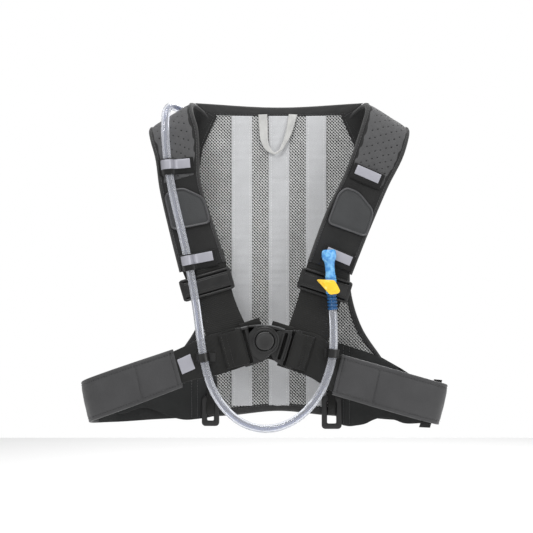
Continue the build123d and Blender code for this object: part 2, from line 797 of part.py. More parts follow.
with BuildPart() as buckle_tongue:
    with BuildSketch(strap_plane(tongue_out, plate_back)):
        with Locations((11.5, 0)):
            Rectangle(13, 22)
        with BuildLine():
            Polyline((17.4, 16), (tongue_bar + bar_half_width, frame_half_height),
                     (tongue_bar + bar_half_width, -frame_half_height), (17.4, -17), close=True)
        make_face()
        with Locations((21.5, 0)):
            Rectangle(3.5, 28, mode=Mode.SUBTRACT)
        with Locations((tongue_bar - bar_half_width - 2.5, 0)):
            Rectangle(5, 2 * slot_half_height, mode=Mode.SUBTRACT)
    extrude(amount=plate_back - plate_front)
save("buckle_tongue", buckle_tongue)

wrap_width = 41.0
wrap_outer = [(4.6, 0), (4.6, 9.6), (-6, 9.6), (-20, 2), (-20, 0)]
wrap_inner = [(3.3, 2), (3.3, 7.8), (-5.4, 7.8), (-16, 2)]


def strap_wrap(outwards, bar, back):
    """The end of the webbing, turned round a buckle bar and sewn back on itself."""
    side = 1 if outwards.X > 0 else -1
    across = outwards * -1
    bar_point = buckle_centre + outwards * abs(bar)
    up = Vector(0, -1, 0)
    plane = Plane(origin=(bar_point.X, back, bar_point.Z), x_dir=across, z_dir=across.cross(up))
    with BuildPart() as wrap:
        with BuildSketch(plane):
            with BuildLine():
                Polyline(*wrap_outer, close=True)
            make_face()
            with BuildLine():
                Polyline(*wrap_inner, close=True)
            make_face(mode=Mode.SUBTRACT)
        extrude(amount=wrap_width / 2, both=True)
    return wrap


save("strap_wrap_left", strap_wrap(housing_out, housing_bar, belt_front))
save("strap_wrap_right", strap_wrap(tongue_out, tongue_bar, belt_front))

# ---------------------------------------------------------------------------
# Lashing rings under the belt
# ---------------------------------------------------------------------------
ring_places = {LEFT: (-82, -182), RIGHT: (63, -183.5)}
ring_sizes = {LEFT: (21, 36), RIGHT: (24, 40)}
ring_bar = 5.5
ring_back = -2.2
ring_thickness = 3.0
tab_width = 9.0
tab_thickness = 1.2

for side in (LEFT, RIGHT):
    ring_width, ring_height = ring_sizes[side]
    with BuildPart() as belt_ring:
        with BuildSketch(front_plane(ring_back)):
            with Locations(ring_places[side]):
                RectangleRounded(ring_width, ring_height, 3.5)
                Rectangle(ring_width - 2 * ring_bar, ring_height - 2 * ring_bar, mode=Mode.SUBTRACT)
        extrude(amount=ring_thickness)
    save(f"belt_ring_{SIDE_NAMES[side]}", belt_ring)

with BuildPart() as ring_tabs:
    for side in (LEFT, RIGHT):
        ring_x, ring_z = ring_places[side]
        ring_top = ring_z + ring_sizes[side][1] / 2
        with BuildSketch(Plane.YZ.offset(ring_x - tab_width / 2)):
            with Locations((-3.2, ring_top + 1)):
                Rectangle(6.4, 19)
            with Locations((-3.2, ring_top + 0.5)):
                Rectangle(6.4 - 2 * tab_thickness, 15, mode=Mode.SUBTRACT)
        extrude(amount=tab_width)
save("ring_tabs", ring_tabs)
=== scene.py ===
"""Looks of the hydration pack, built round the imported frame.

Shapes are worked out in millimetres in the part's frame: X to the right as seen from the
front of the harness, Y from the harness back towards the pack, Z up.
"""
import math
from contextlib import contextmanager

import bmesh
import bpy
import numpy as np
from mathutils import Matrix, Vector


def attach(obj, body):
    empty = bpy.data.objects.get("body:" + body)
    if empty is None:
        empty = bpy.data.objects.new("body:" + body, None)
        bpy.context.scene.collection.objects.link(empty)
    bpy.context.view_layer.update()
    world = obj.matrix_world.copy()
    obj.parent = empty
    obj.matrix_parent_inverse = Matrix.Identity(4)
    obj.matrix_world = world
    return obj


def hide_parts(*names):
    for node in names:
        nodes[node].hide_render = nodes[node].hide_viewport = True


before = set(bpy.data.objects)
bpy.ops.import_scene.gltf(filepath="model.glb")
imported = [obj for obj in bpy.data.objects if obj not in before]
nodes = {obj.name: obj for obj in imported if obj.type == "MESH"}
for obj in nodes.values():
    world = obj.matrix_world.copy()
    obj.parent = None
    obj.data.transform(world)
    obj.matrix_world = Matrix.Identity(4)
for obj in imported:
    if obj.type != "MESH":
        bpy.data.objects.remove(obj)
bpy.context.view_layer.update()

MM = 0.001
LEFT = -1
RIGHT = 1
SIDE_NAMES = {LEFT: "left", RIGHT: "right"}
OUTWARD = (0, -1, 0)
REARWARD = (0, 1, 0)

# Sizes repeated from the part, in millimetres
PANEL_THICKNESS = 5.0
PAD_THICKNESS = 6.0
PAD_MIDDLE = -47.5
PAD_FRONT = PAD_MIDDLE - PAD_THICKNESS / 2
WING_THICKNESS = 4.0
WING_MIDDLE = -53.0
WING_REAR = 2.0
WEBBING = 2.0
BELT_FRONT = WING_MIDDLE - WEBBING / 2
TUBE_DIAMETER = 9.5
TUBE_BORE = 4.6

# --- Camera and light ---
EYE = (-0.015, -2.0, -0.009)
AIM = Vector((-0.015, 0, 0))
WHITE_SEEN = 1.0
WHITE_LIGHT = 0.5

camera_data = bpy.data.cameras.new("camera")
camera_data.sensor_width = 36
camera_data.lens = 112.6
camera = bpy.data.objects.new("camera", camera_data)
camera.location = EYE
camera.rotation_euler = (math.radians(90), 0, 0)
bpy.context.scene.collection.objects.link(camera)
bpy.context.scene.camera = camera

# White where it is seen straight or through something clear, weaker as a light
world = bpy.data.worlds.new("studio")
world.use_nodes = True
world_nodes, world_links = world.node_tree.nodes, world.node_tree.links
path = world_nodes.new("ShaderNodeLightPath")
straight = world_nodes.new("ShaderNodeMath")
straight.operation = "MAXIMUM"
world_links.new(path.outputs["Is Camera Ray"], straight.inputs[0])
world_links.new(path.outputs["Is Transmission Ray"], straight.inputs[1])
strength = world_nodes.new("ShaderNodeMapRange")
strength.inputs["To Min"].default_value = WHITE_LIGHT
strength.inputs["To Max"].default_value = WHITE_SEEN
world_links.new(straight.outputs[0], strength.inputs["Value"])
world_links.new(strength.outputs[0], world_nodes["Background"].inputs["Strength"])
world_nodes["Background"].inputs["Color"].default_value = (1, 1, 1, 1)
bpy.context.scene.world = world
bpy.context.scene.view_settings.view_transform = "Standard"


def softbox(name, location, size, watts):
    """A large square area light that looks at the object."""
    light = bpy.data.lights.new(name, "AREA")
    light.size = size
    light.energy = watts
    box = bpy.data.objects.new(name, light)
    box.location = location
    box.rotation_euler = (AIM - Vector(location)).to_track_quat("-Z", "Y").to_euler()
    box.visible_transmission = False
    bpy.context.scene.collection.objects.link(box)


softbox("key_light", (-0.7, -1.5, 1.4), 0.8, 22)
softbox("top_light", (0.1, -0.3, 1.5), 0.7, 14)
softbox("fill_light", (1.4, -1.3, 0.3), 1.0, 10)
softbox("rear_light", (0.4, 1.6, 1.2), 1.2, 24)

# --- Materials ---
CLOTH_GLOSS = 0.22
# The Wave texture turns by this many radians for each unit of length
WAVE_TURN = 20
FINISHES = {}


def tone(red, green=None, blue=None):
    """A display colour from 0 to 255 as linear light."""
    channels = (red, red, red) if green is None else (red, green, blue)
    return tuple(
        (c / 255 / 12.92) if c <= 10 else ((c / 255 + 0.055) / 1.055) ** 2.4 for c in channels
    ) + (1.0,)


def shade(colour, factor):
    return tuple(min(1, c * factor) for c in colour[:3]) + (1,)


class Finish:
    """A material, listed under its name, and the record's slot that it belongs to."""

    def __init__(self, name, colour, roughness, slot=None, **sockets):
        self.slot = slot or name
        self.colour = colour
        self.height = None
        self.material = bpy.data.materials.new(name)
        self.material.use_nodes = True
        self.tree = self.material.node_tree
        self.surface = self.tree.nodes["Principled BSDF"]
        if "Sheen_Weight" in sockets:
            sockets["Specular_IOR_Level"] = CLOTH_GLOSS
        for socket, value in {"Base_Color": colour, "Roughness": roughness, **sockets}.items():
            self.set(self.surface, socket.replace("_", " "), value)
        FINISHES[name] = self

    def set(self, node, socket, value):
        """Gives a node's input a value or another node's output."""
        if isinstance(value, bpy.types.NodeSocket):
            self.tree.links.new(value, node.inputs[socket])
        else:
            node.inputs[socket].default_value = value

    def node(self, kind, inputs=None, **settings):
        made = self.tree.nodes.new("ShaderNode" + kind)
        for key, value in settings.items():
            setattr(made, key, value)
        for key, value in (inputs or {}).items():
            self.set(made, key, value)
        return made

    def math(self, operation, first, second):
        return self.node("Math", {0: first, 1: second}, operation=operation).outputs[0]

    def place(self, woven):
        """Where a point is: along and across a strap, or in the part's frame."""
        if woven:
            return self.node("Attribute", attribute_name="weave").outputs["Vector"]
        return self.node("TexCoord").outputs["Object"]

    def pit(self):
        """How deep in a pit or a bore a point is, from 0 to 1."""
        return self.node("Attribute", attribute_name="pit").outputs["Fac"]

    def mix(self, factor, first, second):
        return self.node("Mix", {0: factor, 6: first, 7: second}, data_type="RGBA").outputs[2]

    def span(self, value, low, high, to_low, to_high):
        inputs = {0: value, 1: low, 2: high, 3: to_low, 4: to_high}
        return self.node("MapRange", inputs).outputs[0]

    def noise(self, place, scale, detail=3.0):
        return self.node("TexNoise", {"Vector": place, "Scale": scale, "Detail": detail}).outputs[0]

    def cells(self, place, scale):
        return self.node("TexVoronoi", {"Vector": place, "Scale": scale}).outputs[0]

    def wave(self, place, direction, period):
        """Ridges with a period in millimetres."""
        inputs = {"Vector": place, "Scale": 2 * math.pi / (WAVE_TURN * period * MM)}
        return self.node("TexWave", inputs, bands_direction=direction).outputs[1]

    def weave(self, place, period, across="Y"):
        """A plain weave: threads in two directions that go over each other in turn."""
        warp = self.wave(place, "X", period)
        weft = self.wave(place, across, period)
        over = self.node("TexChecker", {"Vector": place, "Scale": 1 / (period * MM)}).outputs[1]
        kept = self.math("MULTIPLY", warp, over)
        other = self.math("MULTIPLY", weft, self.math("SUBTRACT", 1.0, over))
        return self.math("ADD", kept, other)

    def mottle(self, place, scale, amount, base=None):
        """The base colour varied by a soft cloudiness."""
        level = self.span(self.noise(place, scale, 4.0), 0.3, 0.7, 1 - amount, 1 + amount)
        inputs = {0: self.colour[:3] if base is None else base, "Scale": level}
        return self.node("VectorMath", inputs, operation="SCALE").outputs[0]

    def paint(self, colour):
        self.set(self.surface, "Base Color", colour)

    def bump(self, height, depth):
        """Relief in millimetres from a height between 0 and 1, over any relief made before."""
        made = self.node("Bump", {"Height": height, "Distance": depth * MM})
        if self.height is not None:
            self.set(made, "Normal", self.height)
        self.height = made.outputs[0]
        self.set(self.surface, "Normal", self.height)

    def vary_roughness(self, place, scale, low, high):
        self.set(self.surface, "Roughness", self.span(self.noise(place, scale), 0.35, 0.65, low, high))


def ribbed_webbing(name, colour, slot=None, period=1.5, sheen=0.25, roughness=0.62):
    """Woven tape: ribs across its width, broken up by the warp."""
    made = Finish(name, colour, roughness, slot, Sheen_Weight=sheen, Sheen_Roughness=0.45)
    place = made.place(True)
    ribs = made.wave(place, "Y", period)
    warp = made.wave(place, "X", period * 0.75)
    cloth = made.math("ADD", made.math("MULTIPLY", ribs, 0.65), made.math("MULTIPLY", warp, 0.35))
    # Painted shade in the hollows between the ribs and painted highlight on their tops, following the
    # relief
    shadow = made.mix(cloth, shade(colour, 0.62), shade(colour, 1.25))
    made.paint(made.mottle(place, 60, 0.14, shadow))
    made.bump(cloth, 0.28)
    made.bump(made.noise(place, 900), 0.08)


def woven_cloth(name, colour, slot=None, period=0.9, sheen=0.3, depth=0.16, woven=True, mottle=0.12):
    """Plain woven pack cloth."""
    made = Finish(name, colour, 0.75, slot, Sheen_Weight=sheen, Sheen_Roughness=0.5)
    place = made.place(woven)
    cloth = made.weave(place, period, "Y" if woven else "Z")
    # Painted shade between the threads and painted highlight on them, following the weave's relief
    shadow = made.mix(cloth, shade(colour, 0.7), shade(colour, 1.2))
    made.paint(made.mottle(place, 45, mottle, shadow))
    made.bump(cloth, depth)
    made.bump(made.noise(place, 260), 0.15)


def moulded(name, colour, roughness, slot=None, grain=0.04, **sockets):
    """Injection-moulded plastic with a fine spark-eroded grain."""
    made = Finish(name, colour, roughness, slot, **sockets)
    place = made.place(False)
    made.paint(made.mottle(place, 120, 0.08))
    made.vary_roughness(place, 90, roughness - 0.07, roughness + 0.1)
    made.bump(made.noise(place, 1400, 2.0), grain)


def coated(name, colour, roughness=0.5):
    """Smooth coated fabric with a fine pebble grain."""
    made = Finish(name, colour, roughness, "coated_fabric", Sheen_Weight=0.12, Sheen_Roughness=0.5)
    place = made.place(True)
    pebble = made.cells(place, 1100.0)
    made.paint(made.mottle(place, 30, 0.1))
    made.vary_roughness(place, 50, roughness - 0.06, roughness + 0.08)
    made.bump(pebble, 0.1)
    made.bump(made.noise(place, 70), 0.35)


def thread(name, colour, slot):
    made = Finish(name, colour, 0.6, slot, Sheen_Weight=0.3)
    place = made.place(False)
    made.paint(made.mottle(place, 900, 0.25))
    made.bump(made.wave(place, "DIAGONAL", 0.5), 0.08)


def pitted(name, colour, pit_colour, high, roughness, sheen, period):
    """Cloth or foam whose pits, marked on the mesh, are dark inside: the darker layer seen through
    them, deepened by painted shade.
    """
    made = Finish(name, colour, roughness, Sheen_Weight=sheen, Sheen_Roughness=0.5)
    place = made.place(True)
    inside = made.span(made.pit(), 0.3, high, 0.0, 1.0)
    fuzz = made.noise(place, 700)
    varied = made.mottle(place, 60, 0.08, made.mix(fuzz, shade(colour, 0.8), shade(colour, 1.2)))
    # The pits' colour is painted shade over the darker layer behind them
    made.paint(made.mix(inside, varied, pit_colour))
    made.bump(made.weave(place, period), 0.12)
    made.bump(fuzz, 0.1)


DARK_WEBBING = tone(27, 27, 26)
ribbed_webbing("webbing", DARK_WEBBING, sheen=0.12)
ribbed_webbing("lower_webbing", DARK_WEBBING, "webbing", period=2.2, sheen=0.12)
ribbed_webbing("white_webbing", tone(186, 186, 184), period=1.2, roughness=0.8)
ribbed_webbing("elastic", tone(20), period=1.0, sheen=0.1)
woven_cloth("binding", tone(50), period=1.1, depth=0.22, sheen=0.15)
woven_cloth("pad_cloth", tone(37), "pack_fabric", period=0.8, sheen=0.1)
woven_cloth("pack_cloth", tone(40, 40, 42), "pack_fabric", 2.4, 0.12, depth=0.1, woven=False)
woven_cloth("strip_cloth", tone(190, 191, 193), "strip_fabric", period=1.0, mottle=0.04)
woven_cloth("lining_cloth", tone(38, 39, 39), "pack_fabric", sheen=0.1, woven=False)
coated("wing_cloth", tone(62, 62, 63))
coated("flap_cloth", tone(58, 59, 60))
moulded("black_plastic", tone(20), 0.36)
# A lighter copy of the black plastic: painted highlight for the buckle's top edge
moulded("edge_highlight_plastic", tone(78, 79, 80), 0.3, "black_plastic")
moulded("button_plastic", tone(36), 0.36)
moulded("yellow_plastic", tone(238, 194, 48), 0.38, grain=0.02)
moulded("dark_blue_rubber", tone(20, 78, 128), 0.3, grain=0.02)
moulded("rubber", tone(40), 0.55)
moulded("zip_metal", tone(60, 60, 62), 0.35, Metallic=0.7)
moulded("blue_plastic", tone(60, 130, 190), 0.35)
# Same coated fabric as the flap, glossier, and lighter as a painted highlight along the pocket's rim
moulded("piping", tone(66, 66, 68), 0.35, "coated_fabric")
thread("dark_thread", tone(88, 88, 90), "binding")
thread("black_thread", tone(34), "binding")
thread("light_thread", tone(225, 225, 224), "strip_fabric")
# The second colour is the inside of the pits: painted shade, near black in the spacer mesh
pitted("spacer_mesh", tone(226, 227, 226), tone(8), 0.42, 0.8, 0.1, 0.6)
pitted("perforated_foam", tone(78, 78, 79), tone(34), 0.6, 0.75, 0.15, 0.7)

reflective = Finish("reflective_tape", tone(160, 160, 168), 0.42, Metallic=0.35)
place = reflective.place(True)
reflective.paint(reflective.mottle(place, 60, 0.05))
reflective.bump(reflective.cells(place, 1800.0), 0.05)
reflective.bump(reflective.noise(place, 60), 0.3)

# The hose's outer wall is a little milky. Its bore is clear, tinted a darker blue-grey as painted shade
# for the dark line down the hose's middle. The plain transmission is for a viewer that doesn't
# follow the link
hose = Finish("clear_hose", tone(240, 242, 246), 0.03, Transmission_Weight=0.86, IOR=1.36)
place = hose.place(False)
bore = hose.pit()
hose.paint(hose.mix(bore, tone(230, 232, 238), tone(116, 122, 146)))
hose.set(hose.surface, "Transmission Weight", hose.span(bore, 0.0, 1.0, 0.77, 1.0))
hose.vary_roughness(place, 60, 0.01, 0.03)

silicone = Finish("blue_silicone", tone(78, 165, 235), 0.26, Transmission_Weight=0.25, IOR=1.4,
                  Subsurface_Weight=0.3, Subsurface_Radius=(0.002, 0.004, 0.006))
place = silicone.place(False)
patches = silicone.span(silicone.noise(place, 210, 2.0), 0.36, 0.64, 0.0, 1.0)
silicone.paint(silicone.mix(patches, tone(82, 156, 224), tone(142, 208, 250)))
silicone.bump(silicone.noise(place, 300), 0.06)

bag_film = Finish("clear_tpu", tone(200, 222, 240), 0.2, Transmission_Weight=0.75, IOR=1.3)
place = bag_film.place(False)
bag_film.paint(bag_film.mottle(place, 60, 0.08))
bag_film.bump(bag_film.noise(place, 80), 0.4)


# --- Mesh building ---
SMALLEST = 1e-6
CORNER_STEPS = 5
CIRCLE_POINTS = 40
FOLD_STEPS = 8
ROW_POINTS = 20
HOLE_DEPTH = 0.9
# A ripple's waves: how many, and the limits of their angle, phase and pace
WAVES = 7
WAVE_LIMITS = ((0, math.pi), (0, 2 * math.pi), (0.6, 1.9))
FLANK_TURNS = np.radians([45, 90, 135])


class Body:
    """Vertices in millimetres, faces, and what the materials read at each vertex."""

    def __init__(self, vertices, faces, weave=None, pit=None):
        self.vertices = np.asarray(vertices, float)
        self.faces = faces
        self.weave = self.vertices[:, [0, 2]] if weave is None else weave
        self.pit = np.zeros(len(self.vertices)) if pit is None else pit


@contextmanager
def editing(mesh):
    """A mesh opened for bmesh's operators and written back at the end."""
    work = bmesh.new()
    work.from_mesh(mesh)
    yield work
    work.to_mesh(mesh)
    work.free()


def piece(name, bodies, finish, replaced=None, body="pack"):
    """One object made of several closed bodies, riding on a CAD body."""
    vertices, weave, pit = (
        np.concatenate([getattr(part, values) for part in bodies])
        for values in ("vertices", "weave", "pit")
    )
    faces = []
    start = 0
    for part in bodies:
        faces += [tuple(index + start for index in face) for face in part.faces]
        start += len(part.vertices)
    mesh = bpy.data.meshes.new(name)
    mesh.from_pydata((vertices * MM).tolist(), [], faces)
    places = np.column_stack([weave, np.zeros(len(weave))]) * MM
    mesh.attributes.new("weave", "FLOAT_VECTOR", "POINT").data.foreach_set("vector", places.ravel())
    mesh.attributes.new("pit", "FLOAT", "POINT").data.foreach_set("value", pit)
    mesh.polygons.foreach_set("use_smooth", [True] * len(faces))
    mesh.update()
    with editing(mesh) as work:
        bmesh.ops.recalc_face_normals(work, faces=work.faces)
    mesh.materials.append(FINISHES[finish].material)
    made = bpy.data.objects.new(name, mesh)
    bpy.context.scene.collection.objects.link(made)
    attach(made, body)
    if replaced:
        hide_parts(replaced)
    return made


def rings(rows, columns, closed=False):
    """Quads between rows of a closed loop of vertices, and back to the first row if closed."""
    faces = []
    for row in range(rows if closed else rows - 1):
        here, there = row * columns, (row + 1) % rows * columns
        for column in range(columns):
            beside = (column + 1) % columns
            faces.append((here + column, here + beside, there + beside, there + column))
    return faces


def skin(rows, columns):
    """Quads between rows of a closed loop of vertices, with both ends capped."""
    count = rows * columns
    ends = [tuple(range(columns))[::-1], tuple(range(count - columns, count))]
    return ends + rings(rows, columns)


def unit(vectors):
    return vectors / np.linalg.norm(vectors, axis=-1, keepdims=True)


def distances(line):
    """How far along a line each of its points is."""
    return np.concatenate([[0], np.cumsum(np.linalg.norm(np.diff(line, axis=0), axis=1))])


def smooth(knots, values, at):
    """Values carried smoothly between knots."""
    slopes = np.gradient(values, knots, axis=0)
    index = np.clip(np.searchsorted(knots, at, side="right") - 1, 0, len(knots) - 2)
    width = (knots[index + 1] - knots[index])[:, None]
    t = (at - knots[index])[:, None] / width
    return (
        (2 * t**3 - 3 * t**2 + 1) * values[index]
        + (t**3 - 2 * t**2 + t) * slopes[index] * width
        + (3 * t**2 - 2 * t**3) * values[index + 1]
        + (t**3 - t**2) * slopes[index + 1] * width
    )


def smooth_line(points, count):
    """A smooth line through points."""
    points = np.asarray(points, float)
    knots = distances(points)
    return smooth(knots, points, np.linspace(0, knots[-1], count))


def resample(line, step):
    """Points at even distances along a line."""
    line = np.asarray(line, float)
    knots = distances(line)
    at = np.linspace(0, knots[-1], max(1, round(knots[-1] / step)) + 1)
    return np.stack([np.interp(at, knots, line[:, axis]) for axis in range(line.shape[1])], axis=1)


class Ribbon:
    """A strap followed from end to end: its two edges and which way its face looks."""

    def __init__(self, along, first, second, face):
        self.along, self.first, self.second, self.face = along, first, second, face
        self.width = np.linalg.norm(second - first, axis=1)

    def part(self, low, high):
        """The stretch of this strap between two distances along it."""
        keep = (self.along >= low) & (self.along <= high)
        return Ribbon(self.along[keep], self.first[keep], self.second[keep], self.face[keep])

    def line(self, inset, height):
        """A line along the strap, so far from its first edge, or from its second if negative."""
        share = inset / self.width if inset >= 0 else 1 + inset / self.width
        return self.first + (self.second - self.first) * share[:, None] + self.face * height

    def edge(self, inset_low, inset_high):
        """A narrower strap between two distances from the edges."""
        return Ribbon(self.along, self.line(inset_low, 0), self.line(inset_high, 0), self.face)


def ribbon_through(sections, step):
    """A strap through cross-sections of two edge points and the way the face looks."""
    first, second, face = (np.array([tuple(row[k]) for row in sections], float) for k in range(3))
    knots = distances((first + second) / 2)
    at = np.linspace(0, knots[-1], max(2, round(knots[-1] / step)) + 1)
    first, second, face = (smooth(knots, values, at) for values in (first, second, face))
    return Ribbon(at, first, second, unit(face))


def flat(edges, depths):
    """Cross-sections of a strap that lies flat, from its edges in the front view."""
    depths = np.broadcast_to(depths, len(edges))
    return [((a[0], y, a[1]), (b[0], y, b[1]), OUTWARD) for (a, b), y in zip(edges, depths)]


def fold(first_apex, second_apex, side, rear, front, thickness, slip):
    """Cross-sections of a strap that turns back on itself, from the front round to the rear."""
    radius = (rear - front) / 2
    middle = (rear + front) / 2
    first_apex, second_apex = np.array(first_apex, float), np.array(second_apex, float)
    along = unit(second_apex - first_apex)
    out = np.array([-side * along[1], side * along[0]])
    made = []
    for share in np.arange(FOLD_STEPS + 1) / FOLD_STEPS:
        turn = math.pi * share
        reach = radius * math.sin(turn) - radius - thickness / 2
        shift = out * reach + along * slip * (share - 0.5) * 2
        depth = middle - radius * math.cos(turn)
        a, b = first_apex + shift, second_apex + shift
        face = (out[0] * math.sin(turn), -math.cos(turn), out[1] * math.sin(turn))
        made.append(((a[0], depth, a[1]), (b[0], depth, b[1]), face))
    return made


def strap(ribbon, thickness, lanes=8, crown=0.0, relief=None, holes=None, rounding=None,
          back_lanes=4, lift=0.0):
    """A strap's closed body, with relief and holes on its face."""
    half = thickness / 2
    rounding = min(rounding or half, half)
    rows = len(ribbon.along)
    width = ribbon.width[:, None]
    along = ribbon.along[:, None]
    share = np.linspace(0, 1, lanes + 1)[None, :]
    across = rounding + (width - 2 * rounding) * share
    height = half + crown * (1 - (2 * share - 1) ** 2) + 0 * across
    if relief:
        height = height + relief(across, along + 0 * across, width)
    pit = np.zeros_like(across)
    if holes:
        row, lane = np.meshgrid(np.arange(rows), np.arange(lanes + 1), indexing="ij")
        pit = holes(across, width, lane, row).astype(float)
        height = height - HOLE_DEPTH * pit
    back_share = np.linspace(1, 0, back_lanes + 1)[None, :]
    back_across = rounding + (width - 2 * rounding) * back_share
    flank = rounding * np.sin(FLANK_TURNS) + 0 * width
    flank_height = half * np.cos(FLANK_TURNS) + 0 * width
    x = np.concatenate([across, width - rounding + flank, back_across, rounding - flank], axis=1)
    h = np.concatenate([height, flank_height, 0 * back_across - half, -flank_height], axis=1) + lift
    pits = np.concatenate([pit, np.zeros((rows, x.shape[1] - pit.shape[1]))], axis=1)
    side = unit(ribbon.second - ribbon.first)
    points = (ribbon.first[:, None, :] + side[:, None, :] * x[..., None]
              + ribbon.face[:, None, :] * h[..., None])
    weave = np.stack([x, np.broadcast_to(along, x.shape)], axis=-1)
    return Body(points.reshape(-1, 3), skin(rows, x.shape[1]), weave.reshape(-1, 2), pits.ravel())


def stitches(line, length=2.3, space=1.1, radius=0.28):
    """A row of sewn stitches along a line, each a small rounded body."""
    points = resample(line, length + space)
    vertices, faces = [], []
    for start, end in zip(points, points[1:]):
        way = (end - start) / (np.linalg.norm(end - start) or 1)
        side = unit(np.cross(way, (0.13, 1, 0.07)))
        up = np.cross(way, side)
        base = len(vertices)
        vertices.append(start)
        for share in (0.25, 0.75):
            centre = start + way * length * share
            for k in range(4):
                angle = math.pi / 4 + k * math.pi / 2
                vertices.append(centre + radius * (side * math.cos(angle) + up * math.sin(angle)))
        vertices.append(start + way * length)
        for k in range(4):
            near, near_after = base + 1 + k, base + 1 + (k + 1) % 4
            far, far_after = near + 4, near_after + 4
            faces.append((base, near_after, near))
            faces.append((near, near_after, far_after, far))
            faces.append((base + 9, far, far_after))
    return Body(np.array(vertices), faces)


def hem_stitches(ribbon, inset, height, *sizes):
    """Two rows of stitches along a strap, so far in from its edges."""
    return [stitches(ribbon.line(place, height), *sizes) for place in (inset, -inset)]


def cross_stitches(ribbon, places, inset, height, *sizes):
    """Rows of stitches across a strap, at distances along it."""
    made = []
    for distance in places:
        row = np.argmin(abs(ribbon.along - distance))
        ends = [ribbon.line(place, height)[row] for place in (inset, -inset)]
        made.append(stitches(np.linspace(*ends, ROW_POINTS), *sizes))
    return made


def circle(side, up, sides, squash=1.0):
    """Points round a circle in the plane of two directions."""
    angle = np.linspace(0, 2 * math.pi, sides, endpoint=False)[:, None]
    return side * np.cos(angle) + up * (squash * np.sin(angle))


def sweep(line, radius, sides=8, closed=False):
    """A round cord along a line; radius is a number or one value for each point."""
    line = np.asarray(line, float)
    count = len(line)
    if closed:
        way = unit(np.roll(line, -1, axis=0) - np.roll(line, 1, axis=0))
    else:
        way = unit(np.gradient(line, axis=0))
    side = [np.cross(way[0], REARWARD)]
    if np.linalg.norm(side[0]) < 0.15:
        side = [np.cross(way[0], (1, 0, 0))]
    for direction in way[1:]:
        side.append(side[-1] - direction * np.dot(side[-1], direction))
    side = unit(np.array(side))
    size = np.broadcast_to(np.asarray(radius, float), (count,))
    ring = circle(side[:, None, :], np.cross(side, way)[:, None, :], sides)
    points = line[:, None, :] + ring * size[:, None, None]
    return Body(points.reshape(-1, 3), rings(count, sides, True) if closed else skin(count, sides))


def hollow(line, outer, bore, sides=28):
    """A hose with a bore, closed by a ring at each end. Its pit is 1 in the bore."""
    outside, inside = sweep(line, outer, sides), sweep(line, bore, sides)
    count = len(outside.vertices)
    walls = rings(len(line), sides)
    faces = walls + [tuple(index + count for index in face[::-1]) for face in walls]
    last = count - sides
    for column in range(sides):
        beside = (column + 1) % sides
        faces.append((column, beside, beside + count, column + count))
        faces.append((last + beside, last + column, last + column + count, last + beside + count))
    vertices = np.concatenate([outside.vertices, inside.vertices])
    return Body(vertices, faces, pit=np.repeat([0.0, 1.0], count))


def revolve(profile, origin, axis, sides=32, squash=1.0):
    """A turned body from (radius, height) pairs along an axis, closed at both ends."""
    axis = unit(np.array(axis, float))
    side = unit(np.cross(axis, REARWARD if abs(axis[1]) < 0.9 else (1, 0, 0)))
    ring = circle(side, np.cross(side, axis), sides, squash)
    points = [origin + ring * radius + axis * height for radius, height in profile]
    return Body(np.concatenate(points), skin(len(profile), sides))


def soften(outline, radius, steps=6):
    """A closed outline with rounded corners."""
    points = np.asarray(outline, float)
    made = []
    for before, corner, after in zip(np.roll(points, 1, axis=0), points, np.roll(points, -1, axis=0)):
        back, forth = before - corner, after - corner
        reach = min(radius, 0.45 * np.linalg.norm(back), 0.45 * np.linalg.norm(forth))
        start, end = corner + unit(back) * reach, corner + unit(forth) * reach
        for t in np.arange(steps + 1) / steps:
            made.append(start * (1 - t) ** 2 + corner * 2 * t * (1 - t) + end * t**2)
    return np.array(made)


def even(outline, step):
    """A closed outline at even steps."""
    return resample(np.vstack([outline, outline[:1]]), step)[:-1]


def inset(outline, distance):
    """A closed outline moved inwards."""
    after = np.roll(outline, -1, axis=0)
    way = after - np.roll(outline, 1, axis=0)
    normal = unit(np.stack([-way[:, 1], way[:, 0]], axis=1))
    area = np.sum(outline[:, 0] * after[:, 1] - outline[:, 1] * after[:, 0])
    return outline + normal * distance * (1 if area > 0 else -1)


def upright(line, y):
    """A line in the front view, set at one depth."""
    line = np.asarray(line, float)
    return np.stack([line[:, 0], np.full(len(line), float(y)), line[:, 1]], axis=1)


def cushion(outline, profile, back, swell=0.0):
    """A flat-backed body from a convex outline seen from the front.

    profile is a list of (inset, depth): the face's depth at distances in from the rim. From
    the last inset the face closes to its centre in rings that keep rising by swell.
    """
    loops = [(outline, back)] + [(inset(outline, distance), depth) for distance, depth in profile]
    last, depth = loops[-1]
    centre = last.mean(axis=0)
    for share in (0.8, 0.6, 0.4, 0.2):
        loops.append((centre + (last - centre) * share, depth + swell * (1 - share**2)))
    ends = [upright([centre], depth + swell), upright([centre], back)]
    vertices = np.concatenate([upright(loop, y) for loop, y in loops] + ends)
    count = len(outline)
    base, top, bottom = (len(loops) - 1) * count, len(vertices) - 2, len(vertices) - 1
    faces = rings(len(loops), count)
    for column in range(count):
        beside = (column + 1) % count
        faces.append((base + column, base + beside, top))
        faces.append((beside, column, bottom))
    return Body(vertices, faces)


def points_of(mesh):
    return np.array([tuple(vertex.co) for vertex in mesh.vertices]) / MM


def draw(curve, kind, points):
    """A spline through points in millimetres."""
    spline = curve.splines.new(kind)
    spline.points.add(len(points) - 1)
    for control, (x, y, z) in zip(spline.points, points):
        control.co = (x * MM, y * MM, z * MM, 1)
    return spline


def turned_to_mesh(curve, merged=False):
    """The points, in millimetres, and faces of a curve, which is used up."""
    holder = bpy.data.objects.new("curve", curve)
    mesh = bpy.data.meshes.new_from_object(holder)
    if merged:
        with editing(mesh) as work:
            bmesh.ops.remove_doubles(work, verts=work.verts, dist=SMALLEST)
    points, faces = points_of(mesh), [tuple(face.vertices) for face in mesh.polygons]
    bpy.data.objects.remove(holder)
    bpy.data.curves.remove(curve)
    bpy.data.meshes.remove(mesh)
    return points, faces


